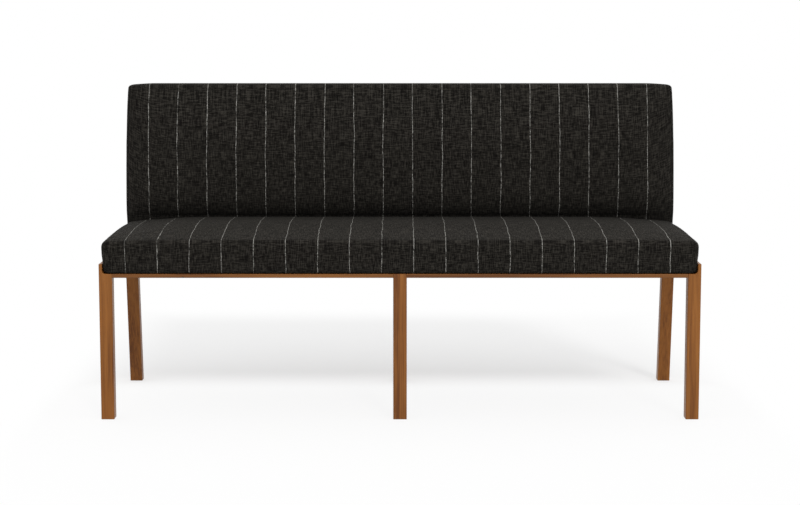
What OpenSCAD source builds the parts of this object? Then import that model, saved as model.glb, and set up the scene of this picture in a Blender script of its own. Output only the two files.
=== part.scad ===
// Upholstered banquette bench: a crowned seat and a leaning back, carried in a thin
// wooden tray on six legs. Millimetres, +Z up, +Y towards the rear, floor at Z = 0.

/* [Overall] */
// Width over the outer faces of the legs
bench_w = 1524; // [1200:1:1900]
// Height of the top of the back above the floor
back_top_z = 838.5; // [780:0.5:900]
// Height of the underside of the wooden tray above the floor
tray_z = 365.5; // [320:0.5:420]
// From the front of the legs to the rear face of the seat frame
seat_d = 481.5; // [430:0.5:540]

/* [Legs] */
// Width of a corner leg, seen from the front
leg_w = 33.5; // [31:0.5:42]
// Depth of every leg, front to rear
leg_d = 33.5; // [31:0.5:42]
// Width of the two centre legs
centre_leg_w = 34.5; // [30:0.5:45]
// Backward lean of the rear legs, in degrees
rear_rake = 9.3; // [0:0.1:12]
// From the rear face of the seat frame forward to the front of a rear leg's top
rear_leg_set = 16.5; // [10:0.5:20]
// Radius of the eased wooden edges
ease_r = 1.6; // [0.8:0.1:2.4]

/* [Tray] */
// Thickness of the rails of the tray
rail_t = 10; // [9:0.5:16]
// Thickness of the lip that stands up beside the cushion
lip_t = 8; // [6:0.5:10]
// Height of the lip above the rails
lip_h = 25.5; // [18:0.5:32]
// Radius of the hollow between the lip and the rails
lip_fillet_r = 9; // [4:0.5:9]

/* [Joints] */
// Thickness of the tenons of the rails
tenon_t = 5; // [4:0.5:5.5]
// Width of the tenon at each end of a front rail
front_tenon_w = 9; // [6:0.5:9]
// From the front of a leg to the front rail's tenon
front_tenon_set = 4; // [3:0.5:4]
// Width of the tenon at the front of a side rail
side_tenon_w = 12; // [8:0.5:12]
// From the outer face of a leg to the side rail's tenon
side_tenon_set = 5; // [4:0.5:6]
// Wood left between the two mortises of a front leg
mortise_web = 4.5; // [3:0.5:6]
// Width of the tenons of the centre rail and the rear rail
wide_tenon_w = 20; // [14:0.5:22]
// From the rear edge of the rear rail to its tenon
rear_tenon_set = 6; // [4:0.5:10]
// Wood left between the front rails' tenons in the centre leg
centre_core = 10.5; // [9:0.5:14]
// Wood left between the centre rail's tenon and the centre leg's bolt
centre_web = 0.9; // [0.7:0.1:3]
// Gap round a tenon in its mortise
joint_gap = 0.15; // [0.1:0.05:0.3]

/* [Seat frame] */
// Height of the boards of the seat frame
seat_frame_h = 60; // [50:0.5:75]
// Thickness of the boards of the seat frame
seat_frame_t = 25; // [22:0.5:30]
// Height of the board across the middle of the seat frame
centre_board_h = 40; // [30:0.5:45]
// Thickness of the tenons of the seat frame
frame_tenon_t = 8; // [6:0.5:8.5]
// Height of the tenons of the seat frame
frame_tenon_h = 30; // [20:0.5:36]
// Wood left beyond the tenons of the seat frame
frame_tenon_web = 13; // [12:0.5:16]
// From the inner face of a side board to its tenon
frame_tenon_set = 3; // [2:0.5:4]
// Length of a corner block along each board
corner_block_l = 55; // [40:1:80]
// Height of a corner block
corner_block_h = 38; // [30:0.5:45]

/* [Springs] */
// Number of zigzag springs, an even number so that none lies over the centre board
spring_count = 12; // [8:2:16]
// Thickness of the spring wire
wire_d = 3.8; // [3:0.1:4.5]
// Width of a spring, outside to outside
spring_w = 50; // [40:1:60]
// Number of bends in a spring
spring_bends = 17; // [13:1:21]
// From the outer face of a seat board to the end run of a spring
spring_set = 22.5; // [18:0.5:24]
// Thickness of the steel of a spring clip
clip_t = 1.2; // [1:0.1:1.6]
// Width of a spring clip
clip_w = 18; // [14:0.5:24]
// Length of a spring clip from front to rear
clip_l = 20; // [16:0.5:22]
// Thickness of the felt that lies over the springs
deck_t = 3; // [2:0.5:5]

/* [Seat cushion] */
// Thickness of the foam in the middle of the seat
seat_foam_t = 31.5; // [28:0.5:60]
// How much higher the middle of the seat is than its front edge
seat_crown = 20; // [10:0.5:20]
// How much higher the middle of the seat is than its side edges
side_crown = 15.5; // [8:0.5:20]
// From the edge of the seat to where its top is level
crown_reach = 240; // [180:1:240]
// Fall of the seat's top from its highest line to the back
seat_rear_drop = 7; // [3:0.5:10]
// Radius of the seat's front edge
seat_edge_r = 35; // [20:0.5:35]
// Radius of the seat's side edges
seat_side_r = 18; // [12:0.5:25]
// Radius of the seat's bottom edges, over the hollow of the tray
base_edge_r = 9; // [9:0.5:12]
// How far the seat swells out over the lip
seat_bulge = 4.2; // [2:0.1:6]
// Padding between the cover and the outside of a frame
wrap_t = 10; // [9.5:0.5:11]
// Thickness of the cover cloth
cloth_t = 1.2; // [0.8:0.1:1.6]
// Width of cloth turned in under the seat
turn_in_w = 21; // [16:0.5:24]

/* [Back] */
// Lean of the back, in degrees
back_lean = 4.66; // [2:0.02:8]
// Thickness of the back at its edges
back_t = 55; // [50:0.5:70]
// Swell of the back's front in its middle
back_crown = 30; // [15:0.5:32]
// From the side of the back to where its swell is full
back_reach = 150; // [100:1:200]
// Radius of the back's front edges
back_edge_r = 10; // [6:0.5:12]
// Radius of the back's top corners
back_corner_r = 11; // [10:0.5:20]
// Foam thickness over the back frame, at the edges of the back
back_pad_t = 12; // [11:0.5:16]
// Swell of the back's sides
back_bulge = 8.3; // [2:0.1:9]
// Fall of the back's top at its corners
corner_drop = 4; // [1:0.5:6]
// Length over which the back's top falls at each corner
corner_drop_l = 55; // [30:1:80]
// Width of the three back posts
post_w = 27; // [22:0.5:32]
// Height of the notch in a post above the seat frame
post_notch_h = 15; // [14:0.5:25]
// Height of the rails of the back frame
back_rail_h = 45; // [35:0.5:60]
// Length of the tenons of the back frame
back_tenon_l = 14; // [10:0.5:18]
// Thickness of the tenons of the back frame
back_tenon_t = 10; // [8:0.5:12]
// Number of webbing straps in each half of the back
straps_a_side = 5; // [3:1:6]
// Width of a webbing strap
strap_w = 50; // [40:1:60]
// Thickness of a webbing strap
strap_t = 1.5; // [1:0.1:2]
// Thickness of the board that closes the back
board_t = 3; // [2.5:0.1:5]
// Width of cloth turned in behind the back
back_turn_in_w = 12; // [10:0.5:18]

/* [Fasteners] */
// Thickness of the bolts
bolt_d = 6; // [5:0.1:6.5]
// Length of a leg bolt inside its leg
leg_bolt_l = 42; // [30:1:55]
// Outer diameter of a threaded insert
insert_d = 10; // [9:0.1:10.2]
// Length of a threaded insert
insert_l = 18; // [14:1:20]
// From the outer face of a corner leg to its bolt
leg_bolt_set = 27; // [26:0.5:27.5]
// From the front of a front corner leg to its bolt
front_bolt_set = 17.5; // [17:0.1:18]
// From the front of a back post to the bolt under it
post_bolt_set = 7; // [6.5:0.5:11]
// Gap between the back's cloth and the front of a post
post_gap = 1.2; // [1:0.1:1.5]
// Diameter of a back bolt's round head
bolt_head_d = 18; // [14:0.5:20]
// Thickness of a back bolt's head
bolt_head_t = 3.5; // [2.5:0.1:4.5]
// Length of a back bolt inside the seat frame
back_bolt_l = 20; // [14:1:22]
// Depth of the recess for a back bolt's head
bolt_recess = 6; // [4.5:0.5:10]
// From the middle of the bench to the centre post's bolts
centre_bolt_set = 8; // [7.5:0.1:9]
// Diameter of the tray's screws
screw_d = 4; // [3:0.1:5]
// Diameter of a screw's head
screw_head_d = 8; // [6.5:0.1:9]
// Depth of a screw's head
screw_head_t = 2.5; // [2:0.1:3.5]
// Length of a screw above the tray
screw_l = 22; // [16:1:30]
// Diameter of a glide
glide_d = 20; // [14:0.5:24]
// Height that a glide holds its leg off the floor
glide_t = 1.5; // [1:0.1:4]
// Diameter of a glide's pin
glide_pin_d = 5; // [3:0.1:6]
// Length of a glide's pin
glide_pin_l = 18; // [12:1:25]

/* [Hidden] */
$fn = 48;

// Colours of the pieces
show_wood = [0.55, 0.35, 0.19];
frame_wood = [0.80, 0.68, 0.48];
cloth_colour = [0.14, 0.14, 0.13];
lining_colour = [0.08, 0.08, 0.08];
foam_colour = [0.90, 0.86, 0.70];
felt_colour = [0.62, 0.60, 0.55];
jute_colour = [0.66, 0.52, 0.34];
board_colour = [0.45, 0.32, 0.22];
steel = [0.70, 0.71, 0.73];
nylon = [0.12, 0.12, 0.12];

// How far cuts run past what they cut
overrun = 1;
// Gap between the cushions and the wood beside them
soft_gap = 0.3;
// Gap round bolts, screws and pins
bolt_gap = 0.1;
// From the seat's rear top down to where the back's swell begins
crease_set = 2;
// Radius of the cushions' hidden rear corners, and least corner of an inner ring
tight_r = 2;
least_r = 0.8;
// Radius of the back's rear edges
rear_edge_r = 3;
// Sides of the round holes through cloth
cloth_hole_sides = 16;

// Heights of the tray and the seat frame
tray_top_z = tray_z + rail_t;
lip_top_z = tray_top_z + lip_h;
frame_z = tray_top_z + cloth_t;
frame_top_z = frame_z + seat_frame_h;
post_z = frame_z + soft_gap;
wire_z = frame_top_z + clip_t;
clip_top_z = wire_z + wire_d + bolt_gap + clip_t;
deck_top_z = clip_top_z + deck_t;
foam_floor_z = deck_top_z + soft_gap;
seat_top_z = foam_floor_z + seat_foam_t + cloth_t;

// The lean of the back: its front edge plane leaves the seat frame's rear face
// at the seat frame's top
lean_slope = tan(back_lean);
rear_most_y = seat_d + (back_top_z - rear_edge_r - frame_top_z) * lean_slope + back_t;
front_y = -(rear_most_y - seat_bulge + soft_gap) / 2;
seat_back_y = front_y + seat_d;
function lean_y(z) = seat_back_y + (z - frame_top_z) * lean_slope;
function back_rear_y(z) = lean_y(z) + back_t;

// Places of the wooden faces
leg_x = bench_w / 2;
leg_in_x = leg_x - leg_w;
lip_in_x = leg_x - lip_t;
leg_back_y = front_y + leg_d;
rear_leg_y = seat_back_y - rear_leg_set;
tray_rear_y = back_rear_y(lip_top_z);
centre_leg_x = centre_leg_w / 2;
frame_x = lip_in_x - soft_gap - cloth_t - wrap_t;
frame_in_x = frame_x - seat_frame_t;
frame_front_y = front_y + soft_gap + cloth_t + wrap_t;
frame_front_in_y = frame_front_y + seat_frame_t;
frame_rear_in_y = seat_back_y - seat_frame_t;
tenon_l = leg_w - side_tenon_set - side_tenon_w - mortise_web;
centre_front_tenon_l = (centre_leg_w - centre_core) / 2;
centre_tenon_l = leg_d - front_bolt_set - bolt_d / 2 - bolt_gap - centre_web;
tenon_z = tray_z + (rail_t - tenon_t) / 2;
side_tenon_x = leg_x - side_tenon_set - side_tenon_w;
rear_tenon_y = tray_rear_y - rear_tenon_set - wide_tenon_w;

// Layers of the back, counted forward from its rear plane
frame_rear_n = cloth_t + board_t;
frame_front_n = back_t - cloth_t - back_pad_t;
pad_n = frame_front_n + strap_t;
back_frame_top_z = back_top_z - cloth_t - wrap_t;
post_notch_z = frame_top_z + post_notch_h;
post_front_y = seat_back_y + cloth_t + post_gap;
function layer_y(z, n) = back_rear_y(z) - n;

// Places of the fasteners
leg_bolt_x = leg_x - leg_bolt_set;
front_bolt_y = front_y + front_bolt_set;
post_bolt_y = post_front_y + post_bolt_set;
spring_pitch = 2 * frame_in_x / spring_count;
front_board_y = frame_front_y + seat_frame_t / 2;
spring_front_y = frame_front_y + spring_set;
spring_rear_y = seat_back_y - spring_set;
back_rail_x = frame_x - post_w;
strap_pitch = (back_rail_x - post_w / 2) / straps_a_side;
back_bolt_zs = [frame_z + insert_l + bolt_d, frame_top_z - bolt_d];
// Places of screws and bolts as shares of the boards that they hold
front_screw_shares = [0.25, 0.75];
side_screw_shares = [0.3, 0.7];
rear_screw_shares = [-0.75, -0.3, 0.3, 0.75];

// A rectangle with eased corners, centred
module eased_rect(w, d) {
    square([w - 2 * ease_r, d], center = true);
    square([w, d - 2 * ease_r], center = true);
    for (sx = [-1, 1], sy = [-1, 1]) {
        translate([sx * (w / 2 - ease_r), sy * (d / 2 - ease_r)]) circle(ease_r);
    }
}

// A plain block between two corners
module block(low, high) {
    translate(low) cube(high - low);
}

// A block grown by a gap on its sides and its far end, to cut a mortise
module mortise(low, high) {
    grow = [joint_gap, joint_gap, joint_gap];
    block(low - grow, high + grow);
}

// An eased board that runs along X
module board_x(low, high) {
    size = high - low;
    translate([low[0], (low[1] + high[1]) / 2, (low[2] + high[2]) / 2])
        rotate([90, 0, 90]) linear_extrude(size[0]) eased_rect(size[1], size[2]);
}

// An eased board that runs along Y
module board_y(low, high) {
    size = high - low;
    translate([(low[0] + high[0]) / 2, high[1], (low[2] + high[2]) / 2])
        rotate([90, 0, 0]) linear_extrude(size[1]) eased_rect(size[0], size[2]);
}

// An outline of Y and Z points, run along X between two places
module profile_x(x0, x1, points) {
    translate([x0, 0, 0]) rotate([90, 0, 90]) linear_extrude(x1 - x0) polygon(points);
}

// Both sides of the bench
module both_sides() {
    children();
    mirror([1, 0, 0]) children();
}

// Where leg bolts stand: two front corners, two rear corners, front and rear centre
module front_bolt_places() {
    both_sides() translate([leg_bolt_x, front_bolt_y, 0]) children();
    translate([0, front_bolt_y, 0]) children();
}

module rear_bolt_places() {
    both_sides() translate([leg_bolt_x, post_bolt_y, 0]) children();
    translate([0, post_bolt_y, 0]) children();
}

// Where screws go up through the tray into the seat frame
module tray_screw_places() {
    front_l = leg_in_x - centre_leg_x;
    side_l = seat_back_y - leg_back_y;
    both_sides() for (share = front_screw_shares) {
        translate([centre_leg_x + share * front_l, front_board_y, 0]) children();
    }
    both_sides() for (share = side_screw_shares) {
        translate([frame_x - seat_frame_t / 2, leg_back_y + share * side_l, 0]) children();
    }
    for (share = rear_screw_shares) {
        translate([share * leg_in_x, (rear_leg_y + seat_back_y) / 2, 0]) children();
    }
}

// Where bolts go forward through the posts into the rear of the seat frame, each with
// the place of its head's seat in $seat_y
module back_bolt_places() {
    for (x = [-leg_bolt_x, centre_bolt_set, leg_bolt_x], z = back_bolt_zs) {
        $seat_y = layer_y(z, frame_rear_n) - bolt_recess;
        translate([x, 0, z]) children();
    }
}

module screw_hole() {
    head_r = screw_head_d / 2 + bolt_gap;
    shank_r = screw_d / 2 + bolt_gap;
    translate([0, 0, tray_z - overrun]) {
        cylinder(h = overrun, r = head_r);
        cylinder(h = overrun + rail_t + cloth_t + screw_l + overrun, r = shank_r);
    }
    translate([0, 0, tray_z]) cylinder(h = screw_head_t, r1 = head_r, r2 = shank_r);
}

module bolt_hole(low_z, high_z) {
    translate([0, 0, low_z]) cylinder(h = high_z - low_z, d = bolt_d + 2 * bolt_gap);
}

module insert_hole() {
    translate([0, 0, frame_z - overrun]) {
        cylinder(h = insert_l + soft_gap + bolt_gap + overrun, d = insert_d + 2 * bolt_gap);
    }
}

// The section of a corner leg or a side rail: a lip beside the cushion, and a
// flange or a leg below it, with a hollow where they meet
module lip_section(bottom_z) {
    translate([leg_x - lip_t / 2, (lip_top_z + bottom_z) / 2])
        eased_rect(lip_t, lip_top_z - bottom_z);
    translate([leg_x - leg_w / 2, (tray_top_z + bottom_z) / 2])
        eased_rect(leg_w, tray_top_z - bottom_z);
    difference() {
        translate([lip_in_x - lip_fillet_r, tray_top_z - ease_r])
            square([lip_fillet_r + ease_r, lip_fillet_r + ease_r]);
        translate([lip_in_x - lip_fillet_r, tray_top_z + lip_fillet_r]) circle(lip_fillet_r);
    }
}

module glide_hole() {
    translate([0, 0, glide_t - overrun])
        cylinder(h = glide_pin_l + bolt_gap + overrun, d = glide_pin_d + 2 * bolt_gap);
}

// Tenons of the rails, each from the shoulder that it stands on
module front_rail_tenon(shoulder_x, end_x) {
    block(
        [min(shoulder_x, end_x), front_y + front_tenon_set, tenon_z],
        [max(shoulder_x, end_x), front_y + front_tenon_set + front_tenon_w, tenon_z + tenon_t]
    );
}

module front_rail_mortise(shoulder_x, end_x) {
    mortise(
        [min(shoulder_x, end_x), front_y + front_tenon_set, tenon_z],
        [max(shoulder_x, end_x), front_y + front_tenon_set + front_tenon_w, tenon_z + tenon_t]
    );
}

// The right front leg: full height, with the seat's seat cut into its top
module front_leg() {
    color(show_wood) difference() {
        intersection() {
            translate([leg_x - leg_w / 2, front_y + leg_d / 2, glide_t])
                linear_extrude(lip_top_z - glide_t) eased_rect(leg_w, leg_d);
            translate([0, leg_back_y + overrun, 0])
                rotate([90, 0, 0]) linear_extrude(leg_d + 2 * overrun) lip_section(glide_t);
        }
        front_rail_mortise(leg_in_x - overrun, leg_in_x + tenon_l);
        mortise(
            [side_tenon_x, leg_back_y - tenon_l, tenon_z],
            [side_tenon_x + side_tenon_w, leg_back_y + overrun, tenon_z + tenon_t]
        );
        translate([leg_bolt_x, front_bolt_y, 0]) bolt_hole(tray_top_z - leg_bolt_l, lip_top_z);
        translate([leg_x - leg_w / 2, front_y + leg_d / 2, 0]) glide_hole();
    }
}

module front_leg_right() front_leg();

module front_leg_left() mirror([1, 0, 0]) front_leg();

module front_leg_centre() {
    color(show_wood) difference() {
        translate([0, front_y + leg_d / 2, glide_t])
            linear_extrude(tray_top_z - glide_t) eased_rect(centre_leg_w, leg_d);
        both_sides() front_rail_mortise(centre_leg_x - centre_front_tenon_l, centre_leg_x + overrun);
        mortise(
            [-front_tenon_w / 2, leg_back_y - centre_tenon_l, tenon_z],
            [front_tenon_w / 2, leg_back_y + overrun, tenon_z + tenon_t]
        );
        translate([0, front_bolt_y, 0]) bolt_hole(tray_top_z - leg_bolt_l, lip_top_z);
        translate([0, front_y + leg_d / 2, 0]) glide_hole();
    }
}

// A rear leg of some width, leaning back towards its foot, centred on X = 0
rear_foot_y = rear_leg_y + (tray_z - glide_t) * tan(rear_rake);
module raked_leg(w) {
    leg_l = tray_z / cos(rear_rake) + leg_d;
    square_d = leg_d * cos(rear_rake);
    difference() {
        intersection() {
            translate([0, rear_leg_y, tray_z]) rotate([rear_rake, 0, 0])
                translate([0, square_d / 2, -leg_l])
                    linear_extrude(leg_l + leg_d) eased_rect(w, square_d);
            block([-w, rear_leg_y - leg_d, glide_t], [w, rear_foot_y + 2 * leg_d, tray_z]);
        }
        translate([0, rear_foot_y + leg_d / 2, 0]) glide_hole();
    }
}

module rear_leg() {
    color(show_wood) difference() {
        translate([leg_x - leg_w / 2, 0, 0]) raked_leg(leg_w);
        translate([leg_bolt_x, post_bolt_y, 0]) bolt_hole(tray_z - leg_bolt_l, lip_top_z);
    }
}

module rear_leg_right() rear_leg();

module rear_leg_left() mirror([1, 0, 0]) rear_leg();

module rear_leg_centre() {
    color(show_wood) difference() {
        raked_leg(centre_leg_w);
        translate([0, post_bolt_y, 0]) bolt_hole(tray_z - leg_bolt_l, lip_top_z);
    }
}

module front_rail() {
    color(show_wood) difference() {
        union() {
            board_x([centre_leg_x, front_y, tray_z], [leg_in_x, leg_back_y, tray_top_z]);
            front_rail_tenon(leg_in_x - overrun, leg_in_x + tenon_l);
            front_rail_tenon(centre_leg_x + overrun, centre_leg_x - centre_front_tenon_l);
        }
        tray_screw_places() screw_hole();
    }
}

module front_rail_right() front_rail();

module front_rail_left() mirror([1, 0, 0]) front_rail();

module side_rail() {
    color(show_wood) difference() {
        union() {
            translate([0, tray_rear_y, 0]) rotate([90, 0, 0])
                linear_extrude(tray_rear_y - leg_back_y) lip_section(tray_z);
            block(
                [side_tenon_x, leg_back_y - tenon_l, tenon_z],
                [side_tenon_x + side_tenon_w, leg_back_y + overrun, tenon_z + tenon_t]
            );
        }
        mortise(
            [leg_in_x - overrun, rear_tenon_y, tenon_z],
            [leg_in_x + tenon_l, rear_tenon_y + wide_tenon_w, tenon_z + tenon_t]
        );
        rear_bolt_places() bolt_hole(tray_z - overrun, tray_top_z + overrun);
        tray_screw_places() screw_hole();
    }
}

module side_rail_right() side_rail();

module side_rail_left() mirror([1, 0, 0]) side_rail();

module centre_rail() {
    color(show_wood) {
        board_y([-centre_leg_x, leg_back_y, tray_z], [centre_leg_x, rear_leg_y, tray_top_z]);
        block(
            [-front_tenon_w / 2, leg_back_y - centre_tenon_l, tenon_z],
            [front_tenon_w / 2, leg_back_y + overrun, tenon_z + tenon_t]
        );
        block(
            [-wide_tenon_w / 2, rear_leg_y - overrun, tenon_z],
            [wide_tenon_w / 2, rear_leg_y + centre_tenon_l, tenon_z + tenon_t]
        );
    }
}

module rear_rail() {
    color(show_wood) difference() {
        union() {
            board_x([-leg_in_x, rear_leg_y, tray_z], [leg_in_x, tray_rear_y, tray_top_z]);
            both_sides() block(
                [leg_in_x - overrun, rear_tenon_y, tenon_z],
                [leg_in_x + tenon_l, rear_tenon_y + wide_tenon_w, tenon_z + tenon_t]
            );
        }
        mortise(
            [-wide_tenon_w / 2, rear_leg_y - overrun, tenon_z],
            [wide_tenon_w / 2, rear_leg_y + centre_tenon_l, tenon_z + tenon_t]
        );
        rear_bolt_places() bolt_hole(tray_z - overrun, tray_top_z + overrun);
        tray_screw_places() screw_hole();
    }
}

module glide() {
    cylinder(h = glide_t, d = glide_d);
    cylinder(h = glide_t + glide_pin_l, d = glide_pin_d);
}

module leg_glides() {
    color(nylon) {
        both_sides() {
            translate([leg_x - leg_w / 2, front_y + leg_d / 2, 0]) glide();
            translate([leg_x - leg_w / 2, rear_foot_y + leg_d / 2, 0]) glide();
        }
        translate([0, front_y + leg_d / 2, 0]) glide();
        translate([0, rear_foot_y + leg_d / 2, 0]) glide();
    }
}

module leg_bolts() {
    color(steel) {
        front_bolt_places() translate([0, 0, tray_top_z - leg_bolt_l + bolt_gap])
            cylinder(h = leg_bolt_l + cloth_t + insert_l - 2 * bolt_gap, d = bolt_d);
        rear_bolt_places() translate([0, 0, tray_z - leg_bolt_l + bolt_gap])
            cylinder(h = leg_bolt_l + rail_t + cloth_t + insert_l - 2 * bolt_gap, d = bolt_d);
    }
}

module insert() {
    difference() {
        translate([0, 0, post_z]) cylinder(h = insert_l, d = insert_d);
        bolt_hole(frame_z, post_z + insert_l + overrun);
    }
}

module leg_bolt_inserts() {
    color(steel) {
        front_bolt_places() insert();
        rear_bolt_places() insert();
    }
}

module tray_screws() {
    color(steel) tray_screw_places() translate([0, 0, tray_z]) {
        cylinder(h = screw_head_t, d1 = screw_head_d, d2 = screw_d);
        cylinder(h = rail_t + cloth_t + screw_l, d = screw_d);
    }
}

// Tenon of a side or centre board of the seat frame, from y0 to y1
module frame_tenon(x0, y0, y1) {
    block([x0, y0, frame_z + cloth_t], [x0 + frame_tenon_t, y1, frame_z + cloth_t + frame_tenon_h]);
}

module frame_mortise(x0, y0, y1) {
    mortise([x0, y0, frame_z + cloth_t], [x0 + frame_tenon_t, y1, frame_z + cloth_t + frame_tenon_h]);
}

side_frame_tenon_x = frame_in_x + frame_tenon_set;
front_tenon_end_y = frame_front_y + frame_tenon_web;
rear_tenon_end_y = seat_back_y - frame_tenon_web;

module seat_frame_front() {
    color(frame_wood) difference() {
        block([-frame_x, frame_front_y, frame_z], [frame_x, frame_front_in_y, frame_top_z]);
        both_sides() frame_mortise(side_frame_tenon_x, front_tenon_end_y, frame_front_in_y + overrun);
        frame_mortise(-frame_tenon_t / 2, front_tenon_end_y, frame_front_in_y + overrun);
        front_bolt_places() insert_hole();
        tray_screw_places() screw_hole();
    }
}

module seat_frame_rear() {
    color(frame_wood) difference() {
        block([-frame_x, frame_rear_in_y, frame_z], [frame_x, seat_back_y, frame_top_z]);
        both_sides() frame_mortise(side_frame_tenon_x, frame_rear_in_y - overrun, rear_tenon_end_y);
        frame_mortise(-frame_tenon_t / 2, frame_rear_in_y - overrun, rear_tenon_end_y);
        tray_screw_places() screw_hole();
        back_bolt_places() translate([0, seat_back_y + overrun, 0]) rotate([90, 0, 0])
            cylinder(h = back_bolt_l + bolt_gap + overrun, d = bolt_d + 2 * bolt_gap);
    }
}

module seat_frame_side() {
    color(frame_wood) difference() {
        union() {
            block([frame_in_x, frame_front_in_y, frame_z], [frame_x, frame_rear_in_y, frame_top_z]);
            frame_tenon(side_frame_tenon_x, front_tenon_end_y, frame_front_in_y + overrun);
            frame_tenon(side_frame_tenon_x, frame_rear_in_y - overrun, rear_tenon_end_y);
        }
        tray_screw_places() screw_hole();
    }
}

module seat_frame_right() seat_frame_side();

module seat_frame_left() mirror([1, 0, 0]) seat_frame_side();

module seat_frame_centre() {
    color(frame_wood) {
        block(
            [-seat_frame_t / 2, frame_front_in_y, frame_z],
            [seat_frame_t / 2, frame_rear_in_y, frame_z + centre_board_h]
        );
        frame_tenon(-frame_tenon_t / 2, front_tenon_end_y, frame_front_in_y + overrun);
        frame_tenon(-frame_tenon_t / 2, frame_rear_in_y - overrun, rear_tenon_end_y);
    }
}

module corner_block() {
    translate([0, 0, frame_z + cloth_t]) linear_extrude(corner_block_h)
        polygon([[0, 0], [corner_block_l, 0], [0, corner_block_l]]);
}

module seat_corner_blocks() {
    color(frame_wood) both_sides() {
        translate([frame_in_x, frame_front_in_y, 0]) mirror([1, 0, 0]) corner_block();
        translate([frame_in_x, frame_rear_in_y, 0]) rotate([0, 0, 180]) corner_block();
    }
}

// A zigzag spring of flat runs joined by half turns, from its front run at Y = 0
bend_r = (spring_rear_y - spring_front_y) / (2 * spring_bends);
run_l = spring_w - wire_d - 2 * bend_r;
module half_turn() {
    difference() {
        circle(bend_r + wire_d / 2);
        circle(bend_r - wire_d / 2);
        translate([-bend_r - wire_d, -bend_r - wire_d]) square([bend_r + wire_d, 2 * (bend_r + wire_d)]);
    }
}

module spring() {
    linear_extrude(wire_d) {
        for (i = [0 : spring_bends]) {
            translate([0, 2 * i * bend_r]) square([run_l, wire_d], center = true);
        }
        for (i = [0 : spring_bends - 1]) {
            translate([0, (2 * i + 1) * bend_r]) mirror([i % 2, 0])
                translate([run_l / 2, 0]) half_turn();
        }
    }
}

module seat_springs() {
    color(steel) for (i = [0 : spring_count - 1]) {
        translate([(i - (spring_count - 1) / 2) * spring_pitch, spring_front_y, wire_z]) spring();
    }
}

// A clip folded over a spring's end run, nailed to the frame, opening rearwards
clip_in_h = wire_d + bolt_gap;
clip_back_y = -wire_d / 2 - bolt_gap - clip_t;
module clip() {
    translate([-clip_w / 2, 0, frame_top_z]) rotate([90, 0, 90]) linear_extrude(clip_w) {
        translate([wire_d - clip_l, 0]) square([clip_l, clip_t]);
        translate([clip_back_y, 0]) square([clip_t, clip_in_h + 2 * clip_t]);
        translate([clip_back_y, clip_t + clip_in_h])
            square([clip_t + wire_d + 2 * bolt_gap, clip_t]);
    }
}

module spring_clips() {
    color(steel) for (i = [0 : spring_count - 1]) {
        translate([(i - (spring_count - 1) / 2) * spring_pitch, 0, 0]) {
            translate([0, spring_front_y, 0]) clip();
            translate([0, spring_rear_y, 0]) mirror([0, 1, 0]) clip();
        }
    }
}

module seat_deck_felt() {
    color(felt_colour) block(
        [-frame_x, frame_front_y, clip_top_z], [frame_x, seat_back_y - 2 * soft_gap, deck_top_z]
    );
}

// Rings of points for the cushions. Each point is [x, y, mark], and the mark is 1 on
// the ring's far side, which is the seat's rear.
corner_steps = 3;
long_shares = [0.02, 0.07, 0.15, 0.5, 0.85, 0.93, 0.98, 1];
short_shares = [0, 0.33, 0.67, 1];
function half_ring(hw, mid, side, r, mark, shares) =
    let (dir = side > mid ? 1 : -1, turn = side - dir * r, step = 90 / corner_steps)
    concat(
        [for (s = shares) [hw, mid + (turn - mid) * s, 0]],
        [for (k = [1 : corner_steps])
            [hw - r + r * cos(k * step), turn + dir * r * sin(k * step), k == corner_steps ? mark : 0]],
        [for (s = long_shares) [(hw - r) * (1 - 2 * s), side, mark]],
        [for (k = [1 : corner_steps]) [-(hw - r) - r * sin(k * step), turn + dir * r * cos(k * step), 0]],
        [for (j = [len(shares) - 2 : -1 : 0]) [-hw, mid + (turn - mid) * shares[j], 0]]
    );

function ring(hw, near, far, r_near, r_far, near_shares) =
    let (
        mid = (near + far) / 2,
        a = half_ring(hw, mid, far, r_far, 1, short_shares),
        b = half_ring(hw, mid, near, r_near, 0, near_shares)
    )
    concat(a, [for (i = [len(a) - 2 : -1 : 1]) b[i]]);

// A closed skin through rings of points, with a strip across the first and the last.
// The first rings may be an inside, in reverse: their walls are split the other way, so
// that they stay parallel to what lies within.
module skin(rings, inside_count = 0) {
    n = len(rings[0]);
    last = (len(rings) - 1) * n;
    walls = [
        for (k = [0 : len(rings) - 2], i = [0 : n - 1])
            let (a = k * n + i, b = k * n + (i + 1) % n)
            each k < inside_count ? [[a, a + n, b], [b, a + n, b + n]] : [[a, a + n, b + n], [a, b + n, b]]
    ];
    first_cap = [
        [0, 1, n - 1],
        for (i = [1 : n / 2 - 2]) each [[i, i + 1, n - i - 1], [i, n - i - 1, n - i]],
        [n / 2 - 1, n / 2, n / 2 + 1],
    ];
    last_cap = [for (face = first_cap) [for (i = [2 : -1 : 0]) face[i] + last]];
    polyhedron(points = [for (r = rings) each r], faces = concat(walls, first_cap, last_cap));
}

// The seat's top: level within the crown's reach, falling to its front and side
// edges and a little towards the rear
seat_hx = lip_in_x - soft_gap + seat_bulge;
seat_front_y = front_y - seat_bulge + soft_gap;
seat_corner_r = 20;
crown_power = 1.7;
blend_power = 4;
function crown_fall(away, crown) =
    crown * pow(1 - min(max(away, 0), crown_reach) / crown_reach, crown_power);
function rear_fall(y) =
    let (level_y = seat_front_y + crown_reach, run = max(y - level_y, 0))
    seat_rear_drop * pow(run / (seat_back_y - level_y), 2);
function seat_surface_z(x, y) =
    let (
        side = crown_fall(seat_hx - abs(x), side_crown),
        front = crown_fall(y - seat_front_y, seat_crown)
    )
    seat_top_z - rear_fall(y) - pow(pow(side, blend_power) + pow(front, blend_power), 1 / blend_power);

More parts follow.
